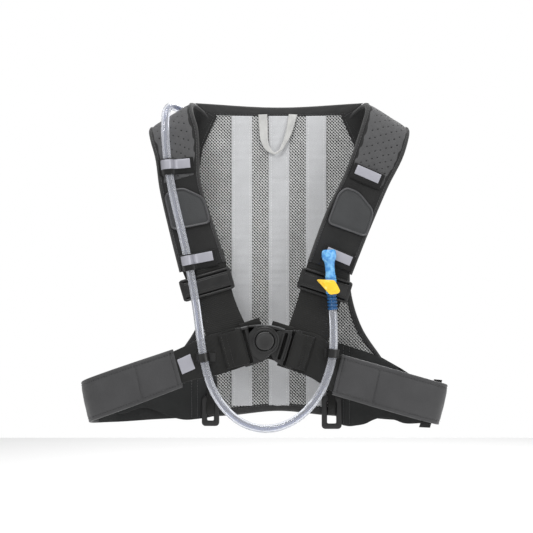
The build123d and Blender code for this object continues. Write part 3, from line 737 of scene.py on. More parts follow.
def plate(outlines, origin, thickness, bevel=0.5, segments=2, across=(1, 0, 0)):
    """A moulded plate with rounded edges, facing outward.

    The first outline is the rim and the others are holes. origin is on the plate's back face,
    and across is its own X.
    """
    curve = bpy.data.curves.new("outline", "CURVE")
    curve.dimensions = "2D"
    curve.fill_mode = "BOTH"
    curve.extrude = (thickness / 2 - bevel) * MM
    curve.bevel_depth = bevel * MM
    curve.offset = -bevel * MM
    curve.bevel_resolution = segments
    for outline in outlines:
        draw(curve, "POLY", [(x, y, 0) for x, y in outline]).use_cyclic_u = True
    local, faces = turned_to_mesh(curve, merged=True)
    across = unit(np.array(across, float))
    axes = np.array([across, np.cross(OUTWARD, across), OUTWARD])
    return Body(np.array(origin, float) + (local + (0, 0, thickness / 2)) @ axes, faces)


def slot_outline(width, height, radius, centre=(0, 0)):
    """A rectangle with round corners."""
    points = []
    for k, (sx, sy) in enumerate(((1, 1), (-1, 1), (-1, -1), (1, -1))):
        x, y = centre[0] + sx * (width / 2 - radius), centre[1] + sy * (height / 2 - radius)
        for step in range(CORNER_STEPS + 1):
            angle = math.pi / 2 * (k + step / CORNER_STEPS)
            points.append((x + radius * math.cos(angle), y + radius * math.sin(angle)))
    return points


def arc(radius, angles):
    return [(radius * math.cos(angle), radius * math.sin(angle)) for angle in angles]


def circle_outline(radius):
    return arc(radius, 2 * math.pi * np.arange(CIRCLE_POINTS) / CIRCLE_POINTS)


def gap(across, centre, width):
    """A groove's shape: 1 at its centre, 0 away from it."""
    return np.exp(-(((across - centre) / width) ** 2))


def ripple(x, y, scale, seed):
    """Gentle unevenness of cloth between about -1 and 1, the same on each run."""
    waves = np.random.default_rng(int(seed * 10))
    total = 0.0
    for _ in range(WAVES):
        angle, phase, pace = (waves.uniform(*ends) for ends in WAVE_LIMITS)
        turns = (x * math.cos(angle) + y * math.sin(angle)) * scale * pace * 0.6
        total = total + np.sin(turns * 2 * math.pi + phase)
    return total / 4


def cloth_relief(waves, hems=(), seams=()):
    """Heights of a sewn cloth face, as a function for strap.

    waves are (height, scale, seed). Grooves are (place, depth, width): hems in from both
    edges, seams across the strap.
    """
    def heights(across, along, width):
        total = 0.0
        for height, scale, seed in waves:
            total = total + height * ripple(across, along, scale, seed)
        for place, depth, breadth in hems:
            total = total - depth * (gap(across, place, breadth) + gap(across, width - place, breadth))
        for place, depth, breadth in seams:
            total = total - depth * gap(along, place, breadth)
        return total

    return heights


# --- Hose ---
PORT_OUT = np.array([-42, 0, 30]) / math.hypot(42, 30)
PORT_MOUTH = np.array([-61, 36, 139]) + PORT_OUT * 4
VALVE_AXIS = np.array([-0.07, 0, 1]) / math.hypot(0.07, 1)
HOSE_END = np.array([62.1, -62.5, -59.1])
HOSE_POINTS = [
    PORT_MOUTH, PORT_MOUTH + PORT_OUT * 37, (-119, -2, 181), (-132.5, -38, 181), (-134, -58, 152),
    (-128.8, -58, 94), (-110.5, -58.6, 18.4), (-97.7, -59.3, -45.7), (-89.3, -59.6, -115.6),
    (-77.3, -59.8, -157.6), (-50.5, -60.5, -189.6), (-15, -62, -200.7), (20.5, -62.5, -188.4),
    (46.2, -62.5, -161), (60.4, -62.5, -126.1), HOSE_END - VALVE_AXIS * 33, HOSE_END,
]

curve = bpy.data.curves.new("route", "CURVE")
curve.dimensions = "3D"
curve.resolution_u = 14
spline = draw(curve, "NURBS", HOSE_POINTS)
spline.order_u = 3
spline.use_endpoint_u = True
hose_line, _ = turned_to_mesh(curve)
drink_hose = piece("drinking_hose", [hollow(hose_line, TUBE_DIAMETER / 2, TUBE_BORE / 2)], "clear_hose",
                   "drink_tube")
drink_hose.visible_shadow = False

# --- Bite valve ---
COLLAR_LENGTH = 18.5
VALVE_LENGTH = 17.5
RIB_PITCH = 3.9
LEVER_BACK = -6.9
LEVER_THICKNESS = 3.3
LEVER_ACROSS = (1, 0, 0.07)
LEVER_OUTLINE = [(-16.5, 8.3), (-15, 9.0), (4, 6.9), (8.2, -2), (9.8, -6.6), (6.6, -9.2), (-2.6, -9.6)]
LEVER_RIB = [(-11, 6.2), (2.6, 4.6), (5.4, -5.6), (-0.6, -6.6)]

# Turned profiles are (radius, height) pairs
collar_profile = [(3.0, 0.0), (5.3, 0.0), (5.7, 0.5)]
for rib in range(4):
    low = 2.2 + rib * RIB_PITCH
    collar_profile += [(5.8, low), (4.6, low + 0.4), (4.6, low + 1.6), (5.8, low + 2.0)]
collar_profile += [(5.7, 17.6), (5.2, 18.4), (3.0, 18.4)]
body_profile = [(2.2, 18.5), (5.9, 18.5), (6.6, 19.3), (6.6, 23.0), (6.1, 23.6), (6.1, 30.4),
                (6.6, 31.0), (6.6, 35.2), (6.0, 35.9), (2.2, 35.9)]
mouth_profile = [(2.0, 0.0), (6.0, 0.0), (6.5, 0.5), (6.5, 3.0), (5.7, 4.0), (5.5, 8.0), (5.5, 13),
                 (5.7, 17.5), (6.3, 20.4), (7.5, 22.0), (8.3, 23.4), (8.5, 26), (8.4, 30), (7.9, 32.4),
                 (6.4, 33.7), (3.4, 34.0), (2.6, 33.3), (0.6, 33.0)]
MOUTH_SQUASH = 0.86
lever_centre = HOSE_END + VALVE_AXIS * (COLLAR_LENGTH + VALVE_LENGTH / 2)
lever_origin = lever_centre + (0, LEVER_BACK, 0)
mouth_start = HOSE_END + VALVE_AXIS * (COLLAR_LENGTH + VALVE_LENGTH)
valve = [
    piece("valve_collar_ribbed", [revolve(collar_profile, HOSE_END, VALVE_AXIS)], "dark_blue_rubber",
          "valve_collar"),
    piece("valve_body_turned", [revolve(body_profile, HOSE_END, VALVE_AXIS)], "blue_silicone",
          "valve_body"),
    piece("shutoff_lever_moulded", [
        plate([soften(LEVER_OUTLINE, 2.2)], lever_origin, LEVER_THICKNESS, 0.9, 3, LEVER_ACROSS),
        plate([soften(LEVER_RIB, 1.5)], lever_origin, LEVER_THICKNESS + 0.5, 0.4, 2, LEVER_ACROSS),
        revolve([(0.5, -6), (3.4, -6), (3.4, 7.2), (0.5, 7.2)], lever_centre, OUTWARD, 24),
    ], "yellow_plastic", "shutoff_lever", body="lever"),
    piece("bite_valve_soft", [revolve(mouth_profile, mouth_start, VALVE_AXIS, 40, MOUTH_SQUASH)],
          "blue_silicone", "bite_valve"),
]

# --- Back panel: spacer mesh, spine strips, bindings ---
ARMHOLE_OUTER = [(130.1, 135.5), (102, 90), (88, 20), (87, -42), (100, -83), (123, -118)]
ARMHOLE_INNER = [(124.1, 139.2), (95, 92), (81, 20), (80, -40), (93.5, -87), (121, -124.7)]
ARMHOLE_MIDDLE = [(127, 137.5), (98.5, 91), (84.5, 20), (83.5, -41), (96.7, -85), (122, -121.4)]
NECK_UPPER = [(-101, 187.3), (0, 182), (101, 187.3)]
NECK_MIDDLE = [(-92, 180), (0, 176), (92, 180)]
NECK_LOWER = [(-83.2, 173), (0, 170.5), (83.2, 173)]
BOTTOM_OUTER = [(-102, -190), (-60, -188), (0, -182.5), (60, -188), (102, -190)]
BOTTOM_MIDDLE = [(103, -186), (60, -183), (0, -177.5), (-60, -183), (-103, -186)]
BOTTOM_INNER = [(-104.8, -180.4), (-60, -178), (0, -172.5), (60, -178), (104.8, -180.4)]

# The mesh's grid: four pitches to an opening, in columns and rows that cover the panel
MESH_PITCH = 0.95
MESH_COLUMNS = 275
MESH_ROWS = 392
MESH_BOTTOM = -188
OPENING_DEPTHS = [2.2, 1.3, 0.0]
CROSSING_RISE = 0.4
MESH_DISH = 1.1
MESH_REACH = 90

STRIP_WIDTH = 25.0
STRIP_PLACES = (-44.5, 0.0, 44.5)
STRIP_TOP = 171.5
STRIP_BOTTOM = -176.0
STRIP_LAP = 2.5
BINDING_FRONT = -0.9
BINDING_BACK = PANEL_THICKNESS + 0.7


def mirrored(points, side):
    return [(side * x, z) for x, z in points]


def inside(outline, x, z):
    """Whether each point is inside a closed outline."""
    result = np.zeros(x.shape, bool)
    for (x1, z1), (x2, z2) in zip(outline, np.roll(outline, -1, axis=0)):
        crosses = (z1 > z) != (z2 > z)
        result ^= crosses & (x < (x2 - x1) * (z - z1) / ((z2 - z1) or SMALLEST) + x1)
    return result


right_armhole = smooth_line(ARMHOLE_MIDDLE, 60)
panel_outline = np.concatenate([
    smooth_line(NECK_MIDDLE, 30),
    right_armhole,
    smooth_line(BOTTOM_MIDDLE, 40),
    (right_armhole * (-1, 1))[::-1],
])


def spacer_mesh():
    """A closed slab whose face is a diamond net with a pit in each opening.

    It is left out under the strips.
    """
    column, row = np.meshgrid(np.arange(MESH_COLUMNS), np.arange(MESH_ROWS))
    x, z = (column - MESH_COLUMNS // 2) * MESH_PITCH, MESH_BOTTOM + row * MESH_PITCH
    centre_x, centre_z = x[:-1, :-1] + MESH_PITCH / 2, z[:-1, :-1] + MESH_PITCH / 2
    kept = inside(panel_outline, centre_x, centre_z)
    for strip_x in STRIP_PLACES:
        beside = abs(centre_x - strip_x) > STRIP_WIDTH / 2 - STRIP_LAP
        kept &= beside | (centre_z > STRIP_TOP) | (centre_z < STRIP_BOTTOM)

    # Depth by how many steps a point is from the nearest opening's centre
    shift = np.abs((column + 2) % 4 - 2) + np.abs((row + 2) % 4 - 2)
    steps_away = np.minimum(shift, 4 - shift)
    crossing = (steps_away == 2) & (row % 2 == 0)
    dish = MESH_DISH * (1 - np.cos(np.clip(x / MESH_REACH, -1, 1) * math.pi / 2))
    front = 0.2 - CROSSING_RISE * crossing + np.choose(steps_away, OPENING_DEPTHS) + dish

    used = np.zeros(column.shape, bool)
    for rows in (slice(None, -1), slice(1, None)):
        for columns in (slice(None, -1), slice(1, None)):
            used[rows, columns] |= kept
    count = int(used.sum())
    number = -np.ones(used.shape, int)
    number[used] = np.arange(count)
    face_points = np.stack([x[used], front[used], z[used]], axis=1)
    back_points = face_points * (1, 0, 1) + (0, PANEL_THICKNESS, 0)
    corners = (number[:-1, :-1], number[:-1, 1:], number[1:, 1:], number[1:, :-1])
    quads = np.stack([corner[kept] for corner in corners], axis=1).tolist()

    # Quads with a pit at a corner are cut there, so that the pit stays sharp
    deepest = (steps_away == 0)[used]
    faces = []
    for p, q, r, s in quads:
        if deepest[p] or deepest[r]:
            faces += [(p, q, r), (p, r, s)]
        elif deepest[q] or deepest[s]:
            faces += [(p, q, s), (q, r, s)]
        else:
            faces.append((p, q, r, s))
    faces += [(p + count, s + count, r + count, q + count) for p, q, r, s in quads]

    # Walls wherever a kept quad has no neighbour: below, above, left and right
    padded = np.pad(kept, 1)
    for down, right, start, end in ((-1, 0, 0, 1), (1, 0, 2, 3), (0, -1, 3, 0), (0, 1, 1, 2)):
        neighbour = padded[1 + down:MESH_ROWS + down, 1 + right:MESH_COLUMNS + right]
        rim = kept & ~neighbour
        for p, q in zip(corners[start][rim].tolist(), corners[end][rim].tolist()):
            faces.append((q, p, p + count, q + count))
    pit = np.concatenate([1 - steps_away[used] / 2, np.zeros(count)])
    return Body(np.concatenate([face_points, back_points]), faces, pit=pit)


piece("spacer_mesh_panel", [spacer_mesh()], "spacer_mesh", "back_panel")

strip_hems = cloth_relief([], [(3.2, 0.25, 0.7)])


def strip_relief(across, along, width):
    """Hems and a slight gathering along the strip."""
    gathers = 0.24 * np.sin(along / 1.9) * ripple(across / 25, along, 0.05, 3.0)
    return strip_hems(across, along, width) + gathers


strip_bodies, strip_seams = [], []
for strip_x in STRIP_PLACES:
    low, high = strip_x - STRIP_WIDTH / 2, strip_x + STRIP_WIDTH / 2
    edges = [((low, z), (high, z)) for z in (STRIP_BOTTOM, -60, 60, STRIP_TOP)]
    strip = ribbon_through(flat(edges, 0.15), 1.6)
    strip_bodies.append(strap(strip, 1.7, 16, 0.15, strip_relief))
    strip_seams += hem_stitches(strip, 3.2, 0.95, 2.2, 1.0, 0.22)
piece("spine_strip_set", strip_bodies, "strip_cloth", "spine_strips")
piece("spine_strip_stitching", strip_seams, "light_thread")

binding_waves = cloth_relief([(0.18, 0.11, 9.0)])


def binding_relief(across, along, width):
    return binding_waves(across, along, width) - 0.3 * gap(across, width - 2.4, 0.8)


def binding(name, outer, inner, node):
    """Tape turned round an edge of the panel, with its line of stitching."""
    edges = list(zip(smooth_line(outer, 70), smooth_line(inner, 70)))
    thickness = BINDING_BACK - BINDING_FRONT
    tape = ribbon_through(flat(edges, (BINDING_FRONT + BINDING_BACK) / 2), 1.6)
    piece(name, [strap(tape, thickness, 10, 0.3, binding_relief, rounding=2.6)], "binding", node)
    seam = stitches(tape.line(-2.4, thickness / 2 - 0.1), 2.4, 1.0, 0.25)
    piece(name + "_stitching", [seam], "dark_thread")


binding("neck_edge_binding", NECK_UPPER, NECK_LOWER, "neck_binding")
binding("bottom_edge_binding", BOTTOM_OUTER, BOTTOM_INNER, "bottom_binding")
for side, name in SIDE_NAMES.items():
    binding(f"armhole_edge_binding_{name}", mirrored(ARMHOLE_OUTER, side),
            mirrored(ARMHOLE_INNER, side), f"armhole_binding_{name}")

# Yoke corners: dark cloth behind the shoulder straps
YOKE_OUTLINE = [(74, 172), (99, 186), (128, 140), (124, 136), (97, 96), (91.5, 133)]
YOKE_PROFILE = [(0.0, -0.3), (0.6, -1.0), (1.6, -1.2), (3.0, -1.0), (4.4, -1.3)]
yoke_bodies, yoke_seams = [], []
for side in SIDE_NAMES:
    outline = even(soften(mirrored(YOKE_OUTLINE, side), 3), 2.0)
    yoke_bodies.append(cushion(outline, YOKE_PROFILE, 0.6, -0.3))
    yoke_seams.append(stitches(upright(inset(outline, 3.0), -1.1), 2.3, 1.0, 0.25))
piece("yoke_corner_panels", yoke_bodies, "pad_cloth", "yoke_patches")
piece("yoke_corner_stitching", yoke_seams, "dark_thread")

# Hanging loop of white webbing, folded to a point
HANG_EDGES = [
    ((-25.0, 173), (-14.0, 173.5)), ((-23.8, 156), (-13.5, 156)), ((-22.2, 142), (-13.0, 143)),
    ((-17.5, 132), (-11.2, 135.0)), ((-11.5, 127), (-8.2, 129.8)), ((-5.0, 124.8), (-5.0, 127.6)),
    ((1.5, 128.2), (-0.4, 130.8)), ((8.0, 136.5), (3.6, 138.6)), ((14.2, 148), (7.4, 149.5)),
    ((22.0, 173), (11.6, 173.5)),
]
HANG_DEPTHS = (-1.6, -2.8, -4.0, -4.8, -5.2, -5.4, -5.2, -4.6, -3.8, -1.6)
hang_loop = ribbon_through(flat(HANG_EDGES, HANG_DEPTHS), 1.2)
piece("hanging_loop", [strap(hang_loop, 1.5, 8, 0.15)], "white_webbing", "hang_loop")

# --- Shoulder straps ---
SHOULDER_RUNS = {
    LEFT: [((-62, -3), (-117, -16)), ((-77, 42), (-128, 28)), ((-92, 92), (-140, 80))],
    RIGHT: [((33, -3), (85, -19)), ((54, 54), (104, 29)), ((78, 104), (127, 83))],
}
SHOULDER_APEX = ((102.5, 186.0), (153.5, 154.5))
SHOULDER_SLIP = -10.0
POCKET_OUTLINES = {
    LEFT: [(-135, 75), (-122, 81.5), (-112, 83), (-88, 72), (-80, 42), (-125.5, 33)],
    RIGHT: [(68.8, 77), (78, 84), (93, 78.5), (109, 58.5), (110, 51.5), (101.5, 25), (55.5, 41.5)],
}
POCKET_FRONT = PAD_FRONT - 2.0
POCKET_PROFILE = [(0.0, PAD_FRONT - 0.9), (0.8, POCKET_FRONT + 0.1), (2.4, POCKET_FRONT),
                  (3.2, POCKET_FRONT + 0.45), (4.2, POCKET_FRONT)]
PERFORATED_FROM = 100
EDGE_TAPE = 5.0
EDGE_SEAM = EDGE_TAPE - 1.3

# A foam strap dips at both edges and is a little uneven
pad_relief = cloth_relief([(0.35, 0.03, 4.0), (0.12, 0.12, 7.0)], [(0.0, 1.1, 5.0)])


def perforation(across, width, lane, row):
    """Small holes in staggered rows, clear of the strap's edges."""
    hole = ((lane % 8 == 0) & (row % 7 == 0)) | ((lane % 8 == 4) & (row % 7 == 3))
    return hole & (across > EDGE_TAPE + 2) & (across < width - EDGE_TAPE - 2)


for side, name in SIDE_NAMES.items():
    sections = flat(SHOULDER_RUNS[side], PAD_MIDDLE)
    sections += fold(*mirrored(SHOULDER_APEX, side), side, PANEL_THICKNESS / 2, PAD_MIDDLE,
                     PAD_THICKNESS, SHOULDER_SLIP)
    whole = ribbon_through(sections, 1.35)
    body = strap(whole, PAD_THICKNESS - 0.8, 20, 0.2, pad_relief, back_lanes=8)
    piece(f"shoulder_strap_{name}", [body], "pad_cloth", f"shoulder_pad_{name}")
    foam_start = whole.along[np.argmax(whole.first[:, 2] > PERFORATED_FROM)]
    foam = whole.part(foam_start, whole.along[-1]).edge(2.5, -2.5)
    body = strap(foam, 1.6, 38, 0.2, pad_relief, perforation, lift=PAD_THICKNESS / 2 - 0.85)
    piece(f"shoulder_foam_{name}", [body], "perforated_foam")
    tapes = (whole.edge(0, EDGE_TAPE),
             Ribbon(whole.along, whole.line(-EDGE_TAPE, 0), whole.second, whole.face))
    bodies = [strap(tape, PAD_THICKNESS + 0.5, 5, 0.25, rounding=2.2) for tape in tapes]
    piece(f"shoulder_edge_tape_{name}", bodies, "binding")
    seams = hem_stitches(whole, EDGE_SEAM, 3.2, 2.4, 1.1, 0.24)
    piece(f"shoulder_stitching_{name}", seams, "dark_thread")

    # Flap pocket on the strap, with a piped rim
    outline = even(soften(POCKET_OUTLINES[side], 7), 1.6)
    piece(f"strap_flap_{name}", [cushion(outline, POCKET_PROFILE, PAD_FRONT + 1.0, -0.7)], "flap_cloth",
          f"strap_pocket_{name}")
    rim = upright(inset(outline, 0.9), POCKET_FRONT - 0.1)
    # The piping's lighter grey is painted highlight along the rim
    piece(f"strap_flap_piping_{name}", [sweep(rim, 1.15, closed=True)], "piping")

# --- Elastic loops on the straps, with reflective tape ---
LOOP_WIDTH = 19.0
LOOP_GAP = 1.6
REFLECTOR_INSET = 1.4
REFLECTOR_WIDTH = 11.0
TAPE_END = 3.2
# Centre, tilt in degrees, half length, and the place and height of the hump over the hose
LOOPS = {
    "tube_loop_upper_left": ((-120.5, 108), 5, 20.5, -9.5, 12.6),
    "tube_loop_lower_left": ((-94, -2), 11, 21, -12.8, 12.9),
    "gear_loop_upper_right": ((102.4, 96.5), -23.5, 19, 0, 0),
    "gear_loop_lower_right": ((68.5, 0.5), -23, 19.5, 0, 0),
}


def slanted(tilt):
    """A direction in the front view, tilted up from the right by degrees."""
    return np.array([math.cos(math.radians(tilt)), 0, math.sin(math.radians(tilt))])


reflectors = {LEFT: [], RIGHT: []}
for node, ((centre_x, centre_z), tilt, half, hump, rise) in LOOPS.items():
    way = slanted(tilt)
    down = np.array([way[2], 0, -way[0]]) * LOOP_WIDTH / 2
    if rise:
        shape = [(-half, 0), (hump - 8.6, 0.3), (hump - 6.6, 2.4), (hump - 5.4, rise * 0.72),
                 (hump - 2.6, rise), (hump, rise + 0.5), (hump + 2.6, rise), (hump + 5.4, rise * 0.72),
                 (hump + 6.6, 2.4), (hump + 8.6, 0.3), (half - 6, 0.2), (half, 0)]
    else:
        shape = [(-half, 0), (-half * 0.5, 0.9), (0, 1.3), (half * 0.5, 0.9), (half, 0)]
    xs, heights = np.array(shape, float).T
    sections = []
    for x, height, steep in zip(xs, heights, np.gradient(heights, xs)):
        point = np.array([centre_x, PAD_FRONT - height - LOOP_GAP, centre_z]) + way * x
        sections.append((point - down, point + down, unit(OUTWARD - way * steep)))
    band = ribbon_through(sections, 1.0)
    piece(f"{node}_band", [strap(band, 1.3, 10, 0.1)], "elastic", node)
    tape = band.edge(REFLECTOR_INSET, REFLECTOR_INSET + REFLECTOR_WIDTH)
    tape = tape.part(TAPE_END, band.along[-1] - TAPE_END)
    reflectors[LEFT if node.endswith("left") else RIGHT].append(strap(tape, 0.5, 6, 0.05, lift=0.85))
for side, name in SIDE_NAMES.items():
    piece(f"loop_tape_{name}", reflectors[side], "reflective_tape", f"loop_reflectors_{name}")

# --- Lower straps and their adjusters ---
LOWER_RUNS = {
    LEFT: [((-65.5, 11), (-119, 0)), ((-62.5, -3.5), (-113, -15.5)), ((-52, -48), (-94, -62)),
           ((-33.5, -90), (-84, -98))],
    RIGHT: [((38.5, 11), (87, -3)), ((33.5, -3.5), (82, -18.5)), ((20, -52), (67, -66)),
            ((9, -84), (55, -104))],
}
LOWER_DEPTHS = (-47.5, -48.5, -48.5, -51.0)
ADJUSTERS = {LEFT: ((-84.8, -30), 16), RIGHT: ((53, -31), -17.5)}
ADJUSTER_BACK = -44.5
ADJUSTER_FACE = -50.5
ADJUSTER_BARS = -52.6
# Width, height, corner radius, place and bevel of each bar on the adjuster's face
BARS = ((57, 1.6, 0.6, 11.6, 0.3), (53, 12, 1.4, 0.4, 0.5), (57, 1.6, 0.6, -11.6, 0.3))

webbing_relief = cloth_relief([(0.1, 0.05, 2.0)], [(2.2, 0.12, 0.5)])

for side, name in SIDE_NAMES.items():
    lower = ribbon_through(flat(LOWER_RUNS[side], LOWER_DEPTHS), 1.8)
    piece(f"lower_webbing_{name}", [strap(lower, WEBBING, 14, 0.1, webbing_relief)], "lower_webbing",
          f"lower_strap_{name}")

    (centre_x, centre_z), tilt = ADJUSTERS[side]
    across = slanted(tilt)
    back, face, bars = ((centre_x, y, centre_z) for y in (ADJUSTER_BACK, ADJUSTER_FACE, ADJUSTER_BARS))
    rim = slot_outline(62, 26, 4)
    slots = [slot_outline(54, 2.0, 0.9, (0, 9.6)), slot_outline(54, 1.6, 0.7, (0, -9.4))]
    bodies = [plate([rim], back, 2.0, 0.6, across=across),
              plate([rim] + slots, face, 2.6, 0.9, 3, across)]
    for width, height, corner, z, bevel in BARS:
        outline = slot_outline(width, height, corner, (0, z))
        bodies.append(plate([outline], bars, 1.0, bevel, across=across))
    for x in (-29, 29):
        bodies.append(plate([slot_outline(3.6, 24, 1.4, (x, 0))], back, 8.0, 0.6, across=across))
    piece(f"ladder_adjuster_{name}", bodies, "black_plastic", f"strap_adjuster_{name}",
          body=f"adjuster_{name}")

# --- Belt wings and front webbing ---
WING_APEXES = {LEFT: ((-234.6, -145.8), (-225.2, -194.3)), RIGHT: ((199.7, -148.7), (189.2, -196.7))}
WING_SLIP = {LEFT: 6.8, RIGHT: 2.8}
WING_FRONT_END = {LEFT: ((-124.4, -105.5), (-112.7, -150)), RIGHT: ((72.9, -111.4), (61.6, -158.8))}
WING_REAR_RUN = {
    LEFT: [((-150, -129), (-143, -192)), ((-123, -118), (-102, -190))],
    RIGHT: [((146, -131), (139, -193)), ((123, -118), (102, -190))],
}
BELT_RUNS = {
    LEFT: [((-121.4, -107), (-113.8, -145.8)), ((-81, -89), (-68, -134.5)),
           ((-46, -79.5), (-32, -122.5))],
    RIGHT: [((72.2, -113.5), (62.4, -155.2)), ((50, -92), (37, -139)), ((12, -81), (-3, -124.5))],
}
# The belt's webbing starts this far inside the wing
BELT_TUCK = np.array([8, 0, -3.5])
HEM = 4.6
WING_SEAM = 48.5
# The wings' roots across the panel's lower corners: x, top, bottom and depth of each section
WING_ROOTS = {
    LEFT: [(-74.4, -140, -187.5, -1.2), (-84, -140, -189.8, -1.2), (-98, -140, -191.8, -1.2),
           (-113, -142, -192.8, -1.3), (-124, -146, -190.8, -1.8), (-136, -147, -187, -3.0),
           (-148, -150, -181.5, -4.6), (-160, -153, -177.8, -5.4), (-172, -156, -180, -4.2),
           (-184, -160, -184.5, -2.6), (-194, -164, -186, -1.8)],
    RIGHT: [(64.2, -98, -187, -1.2), (69, -99.5, -189, -1.2), (73, -101, -197, -1.2),
            (81, -103.5, -200.2, -1.2), (94, -107.8, -199.5, -1.2), (104, -111, -197.4, -1.3),
            (112, -114, -193.4, -1.6), (127, -122, -189.6, -3.2), (138, -128, -192.6, -4.2),
            (150, -138, -196.8, -3.4), (166, -150, -197, -2.2), (178, -158, -196, -1.8)],
}
ROOT_SEAMS = {LEFT: (22.5, 31.0), RIGHT: (15.7, 23.0)}
KEEPER_EDGES = [((181.5, -47.5, -141), (191.5, -39, -142.5)),
                ((173.5, -48, -168), (185.5, -38.5, -170)), ((163.5, -50, -197), (177, -41, -198.5))]
KEEPER_FACE = (0.65, -0.76, 0)
REFLECTOR_EDGES = [((-119.5, -118), (-113.5, -135)), ((-104.3, -111), (-98.1, -128.3))]

wing_cloth = cloth_relief([(0.5, 0.02, 5.0), (0.15, 0.09, 6.0)], [(HEM, 0.9, 1.1)],
                          [(HEM, 0.9, 1.2), (WING_SEAM, 1.2, 1.3)])
lining_relief = cloth_relief([(0.5, 0.03, 11.0)])

for side, name in SIDE_NAMES.items():
    sections = flat([WING_FRONT_END[side]], WING_MIDDLE)
    sections += fold(*WING_APEXES[side], side, WING_REAR, WING_MIDDLE, WING_THICKNESS, WING_SLIP[side])
    sections += [section[:2] + (REARWARD,) for section in flat(WING_REAR_RUN[side], WING_REAR)]
    whole = ribbon_through(sections, 2.2)
    face_end = whole.along[np.argmax(whole.face[:, 1] > -0.2)]

    def wing_relief(across, along, width):
        """Sewn cloth that puckers from where the wing turns."""
        pucker = 0.9 * np.clip((along - face_end - 20) / 40, 0, 1) * np.sin(along / 5.2)
        return wing_cloth(across, along, width) + pucker * ripple(across / 6, along, 0.06, 8.0)

    body = strap(whole, WING_THICKNESS, 24, 0.5, wing_relief, back_lanes=10)
    piece(f"belt_pad_{name}", [body], "wing_cloth", f"belt_wing_{name}")
    seams = hem_stitches(whole, HEM, 2.15, 2.5, 0.9, 0.3)
    seams += cross_stitches(whole, (HEM, WING_SEAM), HEM, 2.3, 2.5, 0.9, 0.3)
    piece(f"belt_pad_stitching_{name}", seams, "black_thread")

    # Dark lining on the wing's inner face, where it runs back behind the wearer
    lining = whole.part(whole.along[np.argmax(whole.face[:, 1] > 0.6)], whole.along[-1])
    lining.face = -lining.face
    body = strap(lining, 0.9, 16, 0.2, lining_relief, lift=WING_THICKNESS / 2 + 0.25)
    piece(f"belt_lining_{name}", [body], "lining_cloth")

    # The wing's root, sewn over the corner of the back panel
    edges = [((x, top), (x, bottom)) for x, top, bottom, _ in WING_ROOTS[side]]
    root = ribbon_through(flat(edges, [depth for _, _, _, depth in WING_ROOTS[side]]), 1.8)
    grooves = [(place, 0.5, 1.0) for place in ROOT_SEAMS[side]]
    body = strap(root, 1.2, 20, 0.0, cloth_relief([(0.25, 0.03, 9.0)], seams=grooves))
    piece(f"wing_root_{name}", [body], "lining_cloth")
    seams = cross_stitches(root, ROOT_SEAMS[side], 1.5, 0.75, 2.3, 1.0, 0.26)
    piece(f"wing_root_stitching_{name}", seams, "dark_thread")

    sections = flat(BELT_RUNS[side], WING_MIDDLE)
    tucked = tuple(np.array(edge) + BELT_TUCK * (side, 0, 1) for edge in sections[0][:2])
    belt = ribbon_through([tucked + (OUTWARD,)] + sections, 1.8)
    piece(f"front_webbing_{name}", [strap(belt, WEBBING, 14, 0.1, webbing_relief)], "webbing",
          f"front_strap_{name}")

# A keeper of elastic behind the end of the right wing
keeper = ribbon_through([edges + (KEEPER_FACE,) for edges in KEEPER_EDGES], 1.6)
piece("wing_keeper_right", [strap(keeper, 1.4, 8, 0.1, webbing_relief)], "elastic")
tab = ribbon_through(flat(REFLECTOR_EDGES, BELT_FRONT - 0.3), 1.2)
piece("belt_tape_tab", [strap(tab, 0.6, 8, 0.1)], "reflective_tape", "belt_reflector")

# --- Centre buckle: outlines in the front view are about the button's centre ---
BUCKLE_CENTRE = np.array([-17.0, 0, -95.5])
HOUSING_OUT = unit(np.array([-0.965, 0, -0.263]))
TONGUE_OUT = unit(np.array([0.956, 0, -0.292]))
HOUSING_BAR = 27.3
TONGUE_BAR = 35.8
PLATE_BACK = -57.3
PLATE_THICKNESS = 4.2
HOUSING_EDGE = -HOUSING_BAR - 3
TONGUE_EDGE = TONGUE_BAR + 3
HOUSING_OUTLINE = [(-8, 18.5), (HOUSING_EDGE, 24), (HOUSING_EDGE, -24), (-8, -22.5), (4, -17), (4, 16)]
TONGUE_OUTLINE = [(10, 15), (18, 18.6), (TONGUE_EDGE, 24), (TONGUE_EDGE, -24), (18, -19.4), (10, -12)]
HUB_RADIUS = 17.0
HUB_REST = [(-1.5, -21.8), (-7, -21.5), (-13.5, -17), (-17.3, -8), (-18.8, 4), (-20.2, 17.6),
            (-11, 18.5)]
HUB_NOTCH = [(-18.8, 15.4), (-13.2, 15.4), (-18.2, 10.0)]
RIDGE_RADIUS = 15.6
RIDGE_END = (-2.0, -21.6)
BROW_EDGE = [(-28, 15.6), (-18, 17.7), (-6, 18.7), (6, 18.2), (16, 16.2), (23.5, 13.8)]
BROW_REST = [(22.6, 11.6), (12, 13.4), (-4, 15.6), (-17, 14.6), (-27, 12.4)]
BUTTON_PROFILE = [(0.3, 0.0), (10.4, 0.0), (10.8, 0.5), (10.8, 2.6), (10.2, 3.3), (9.2, 3.5),
                  (8.2, 3.15), (5.5, 2.85), (2.5, 2.75), (0.3, 2.75)]
# How far forward the hub, its collar and ridge, and the button begin
HUB_BACK = -59.6
COLLAR_BACK = -64.8
BUTTON_BACK = -64.2


def at_depth(y):
    return BUCKLE_CENTRE + (0, y, 0)


def on_buckle(line, y):
    """A line about the button's centre, as places in the part's frame."""
    return upright(np.asarray(line, float) + BUCKLE_CENTRE[[0, 2]], y)


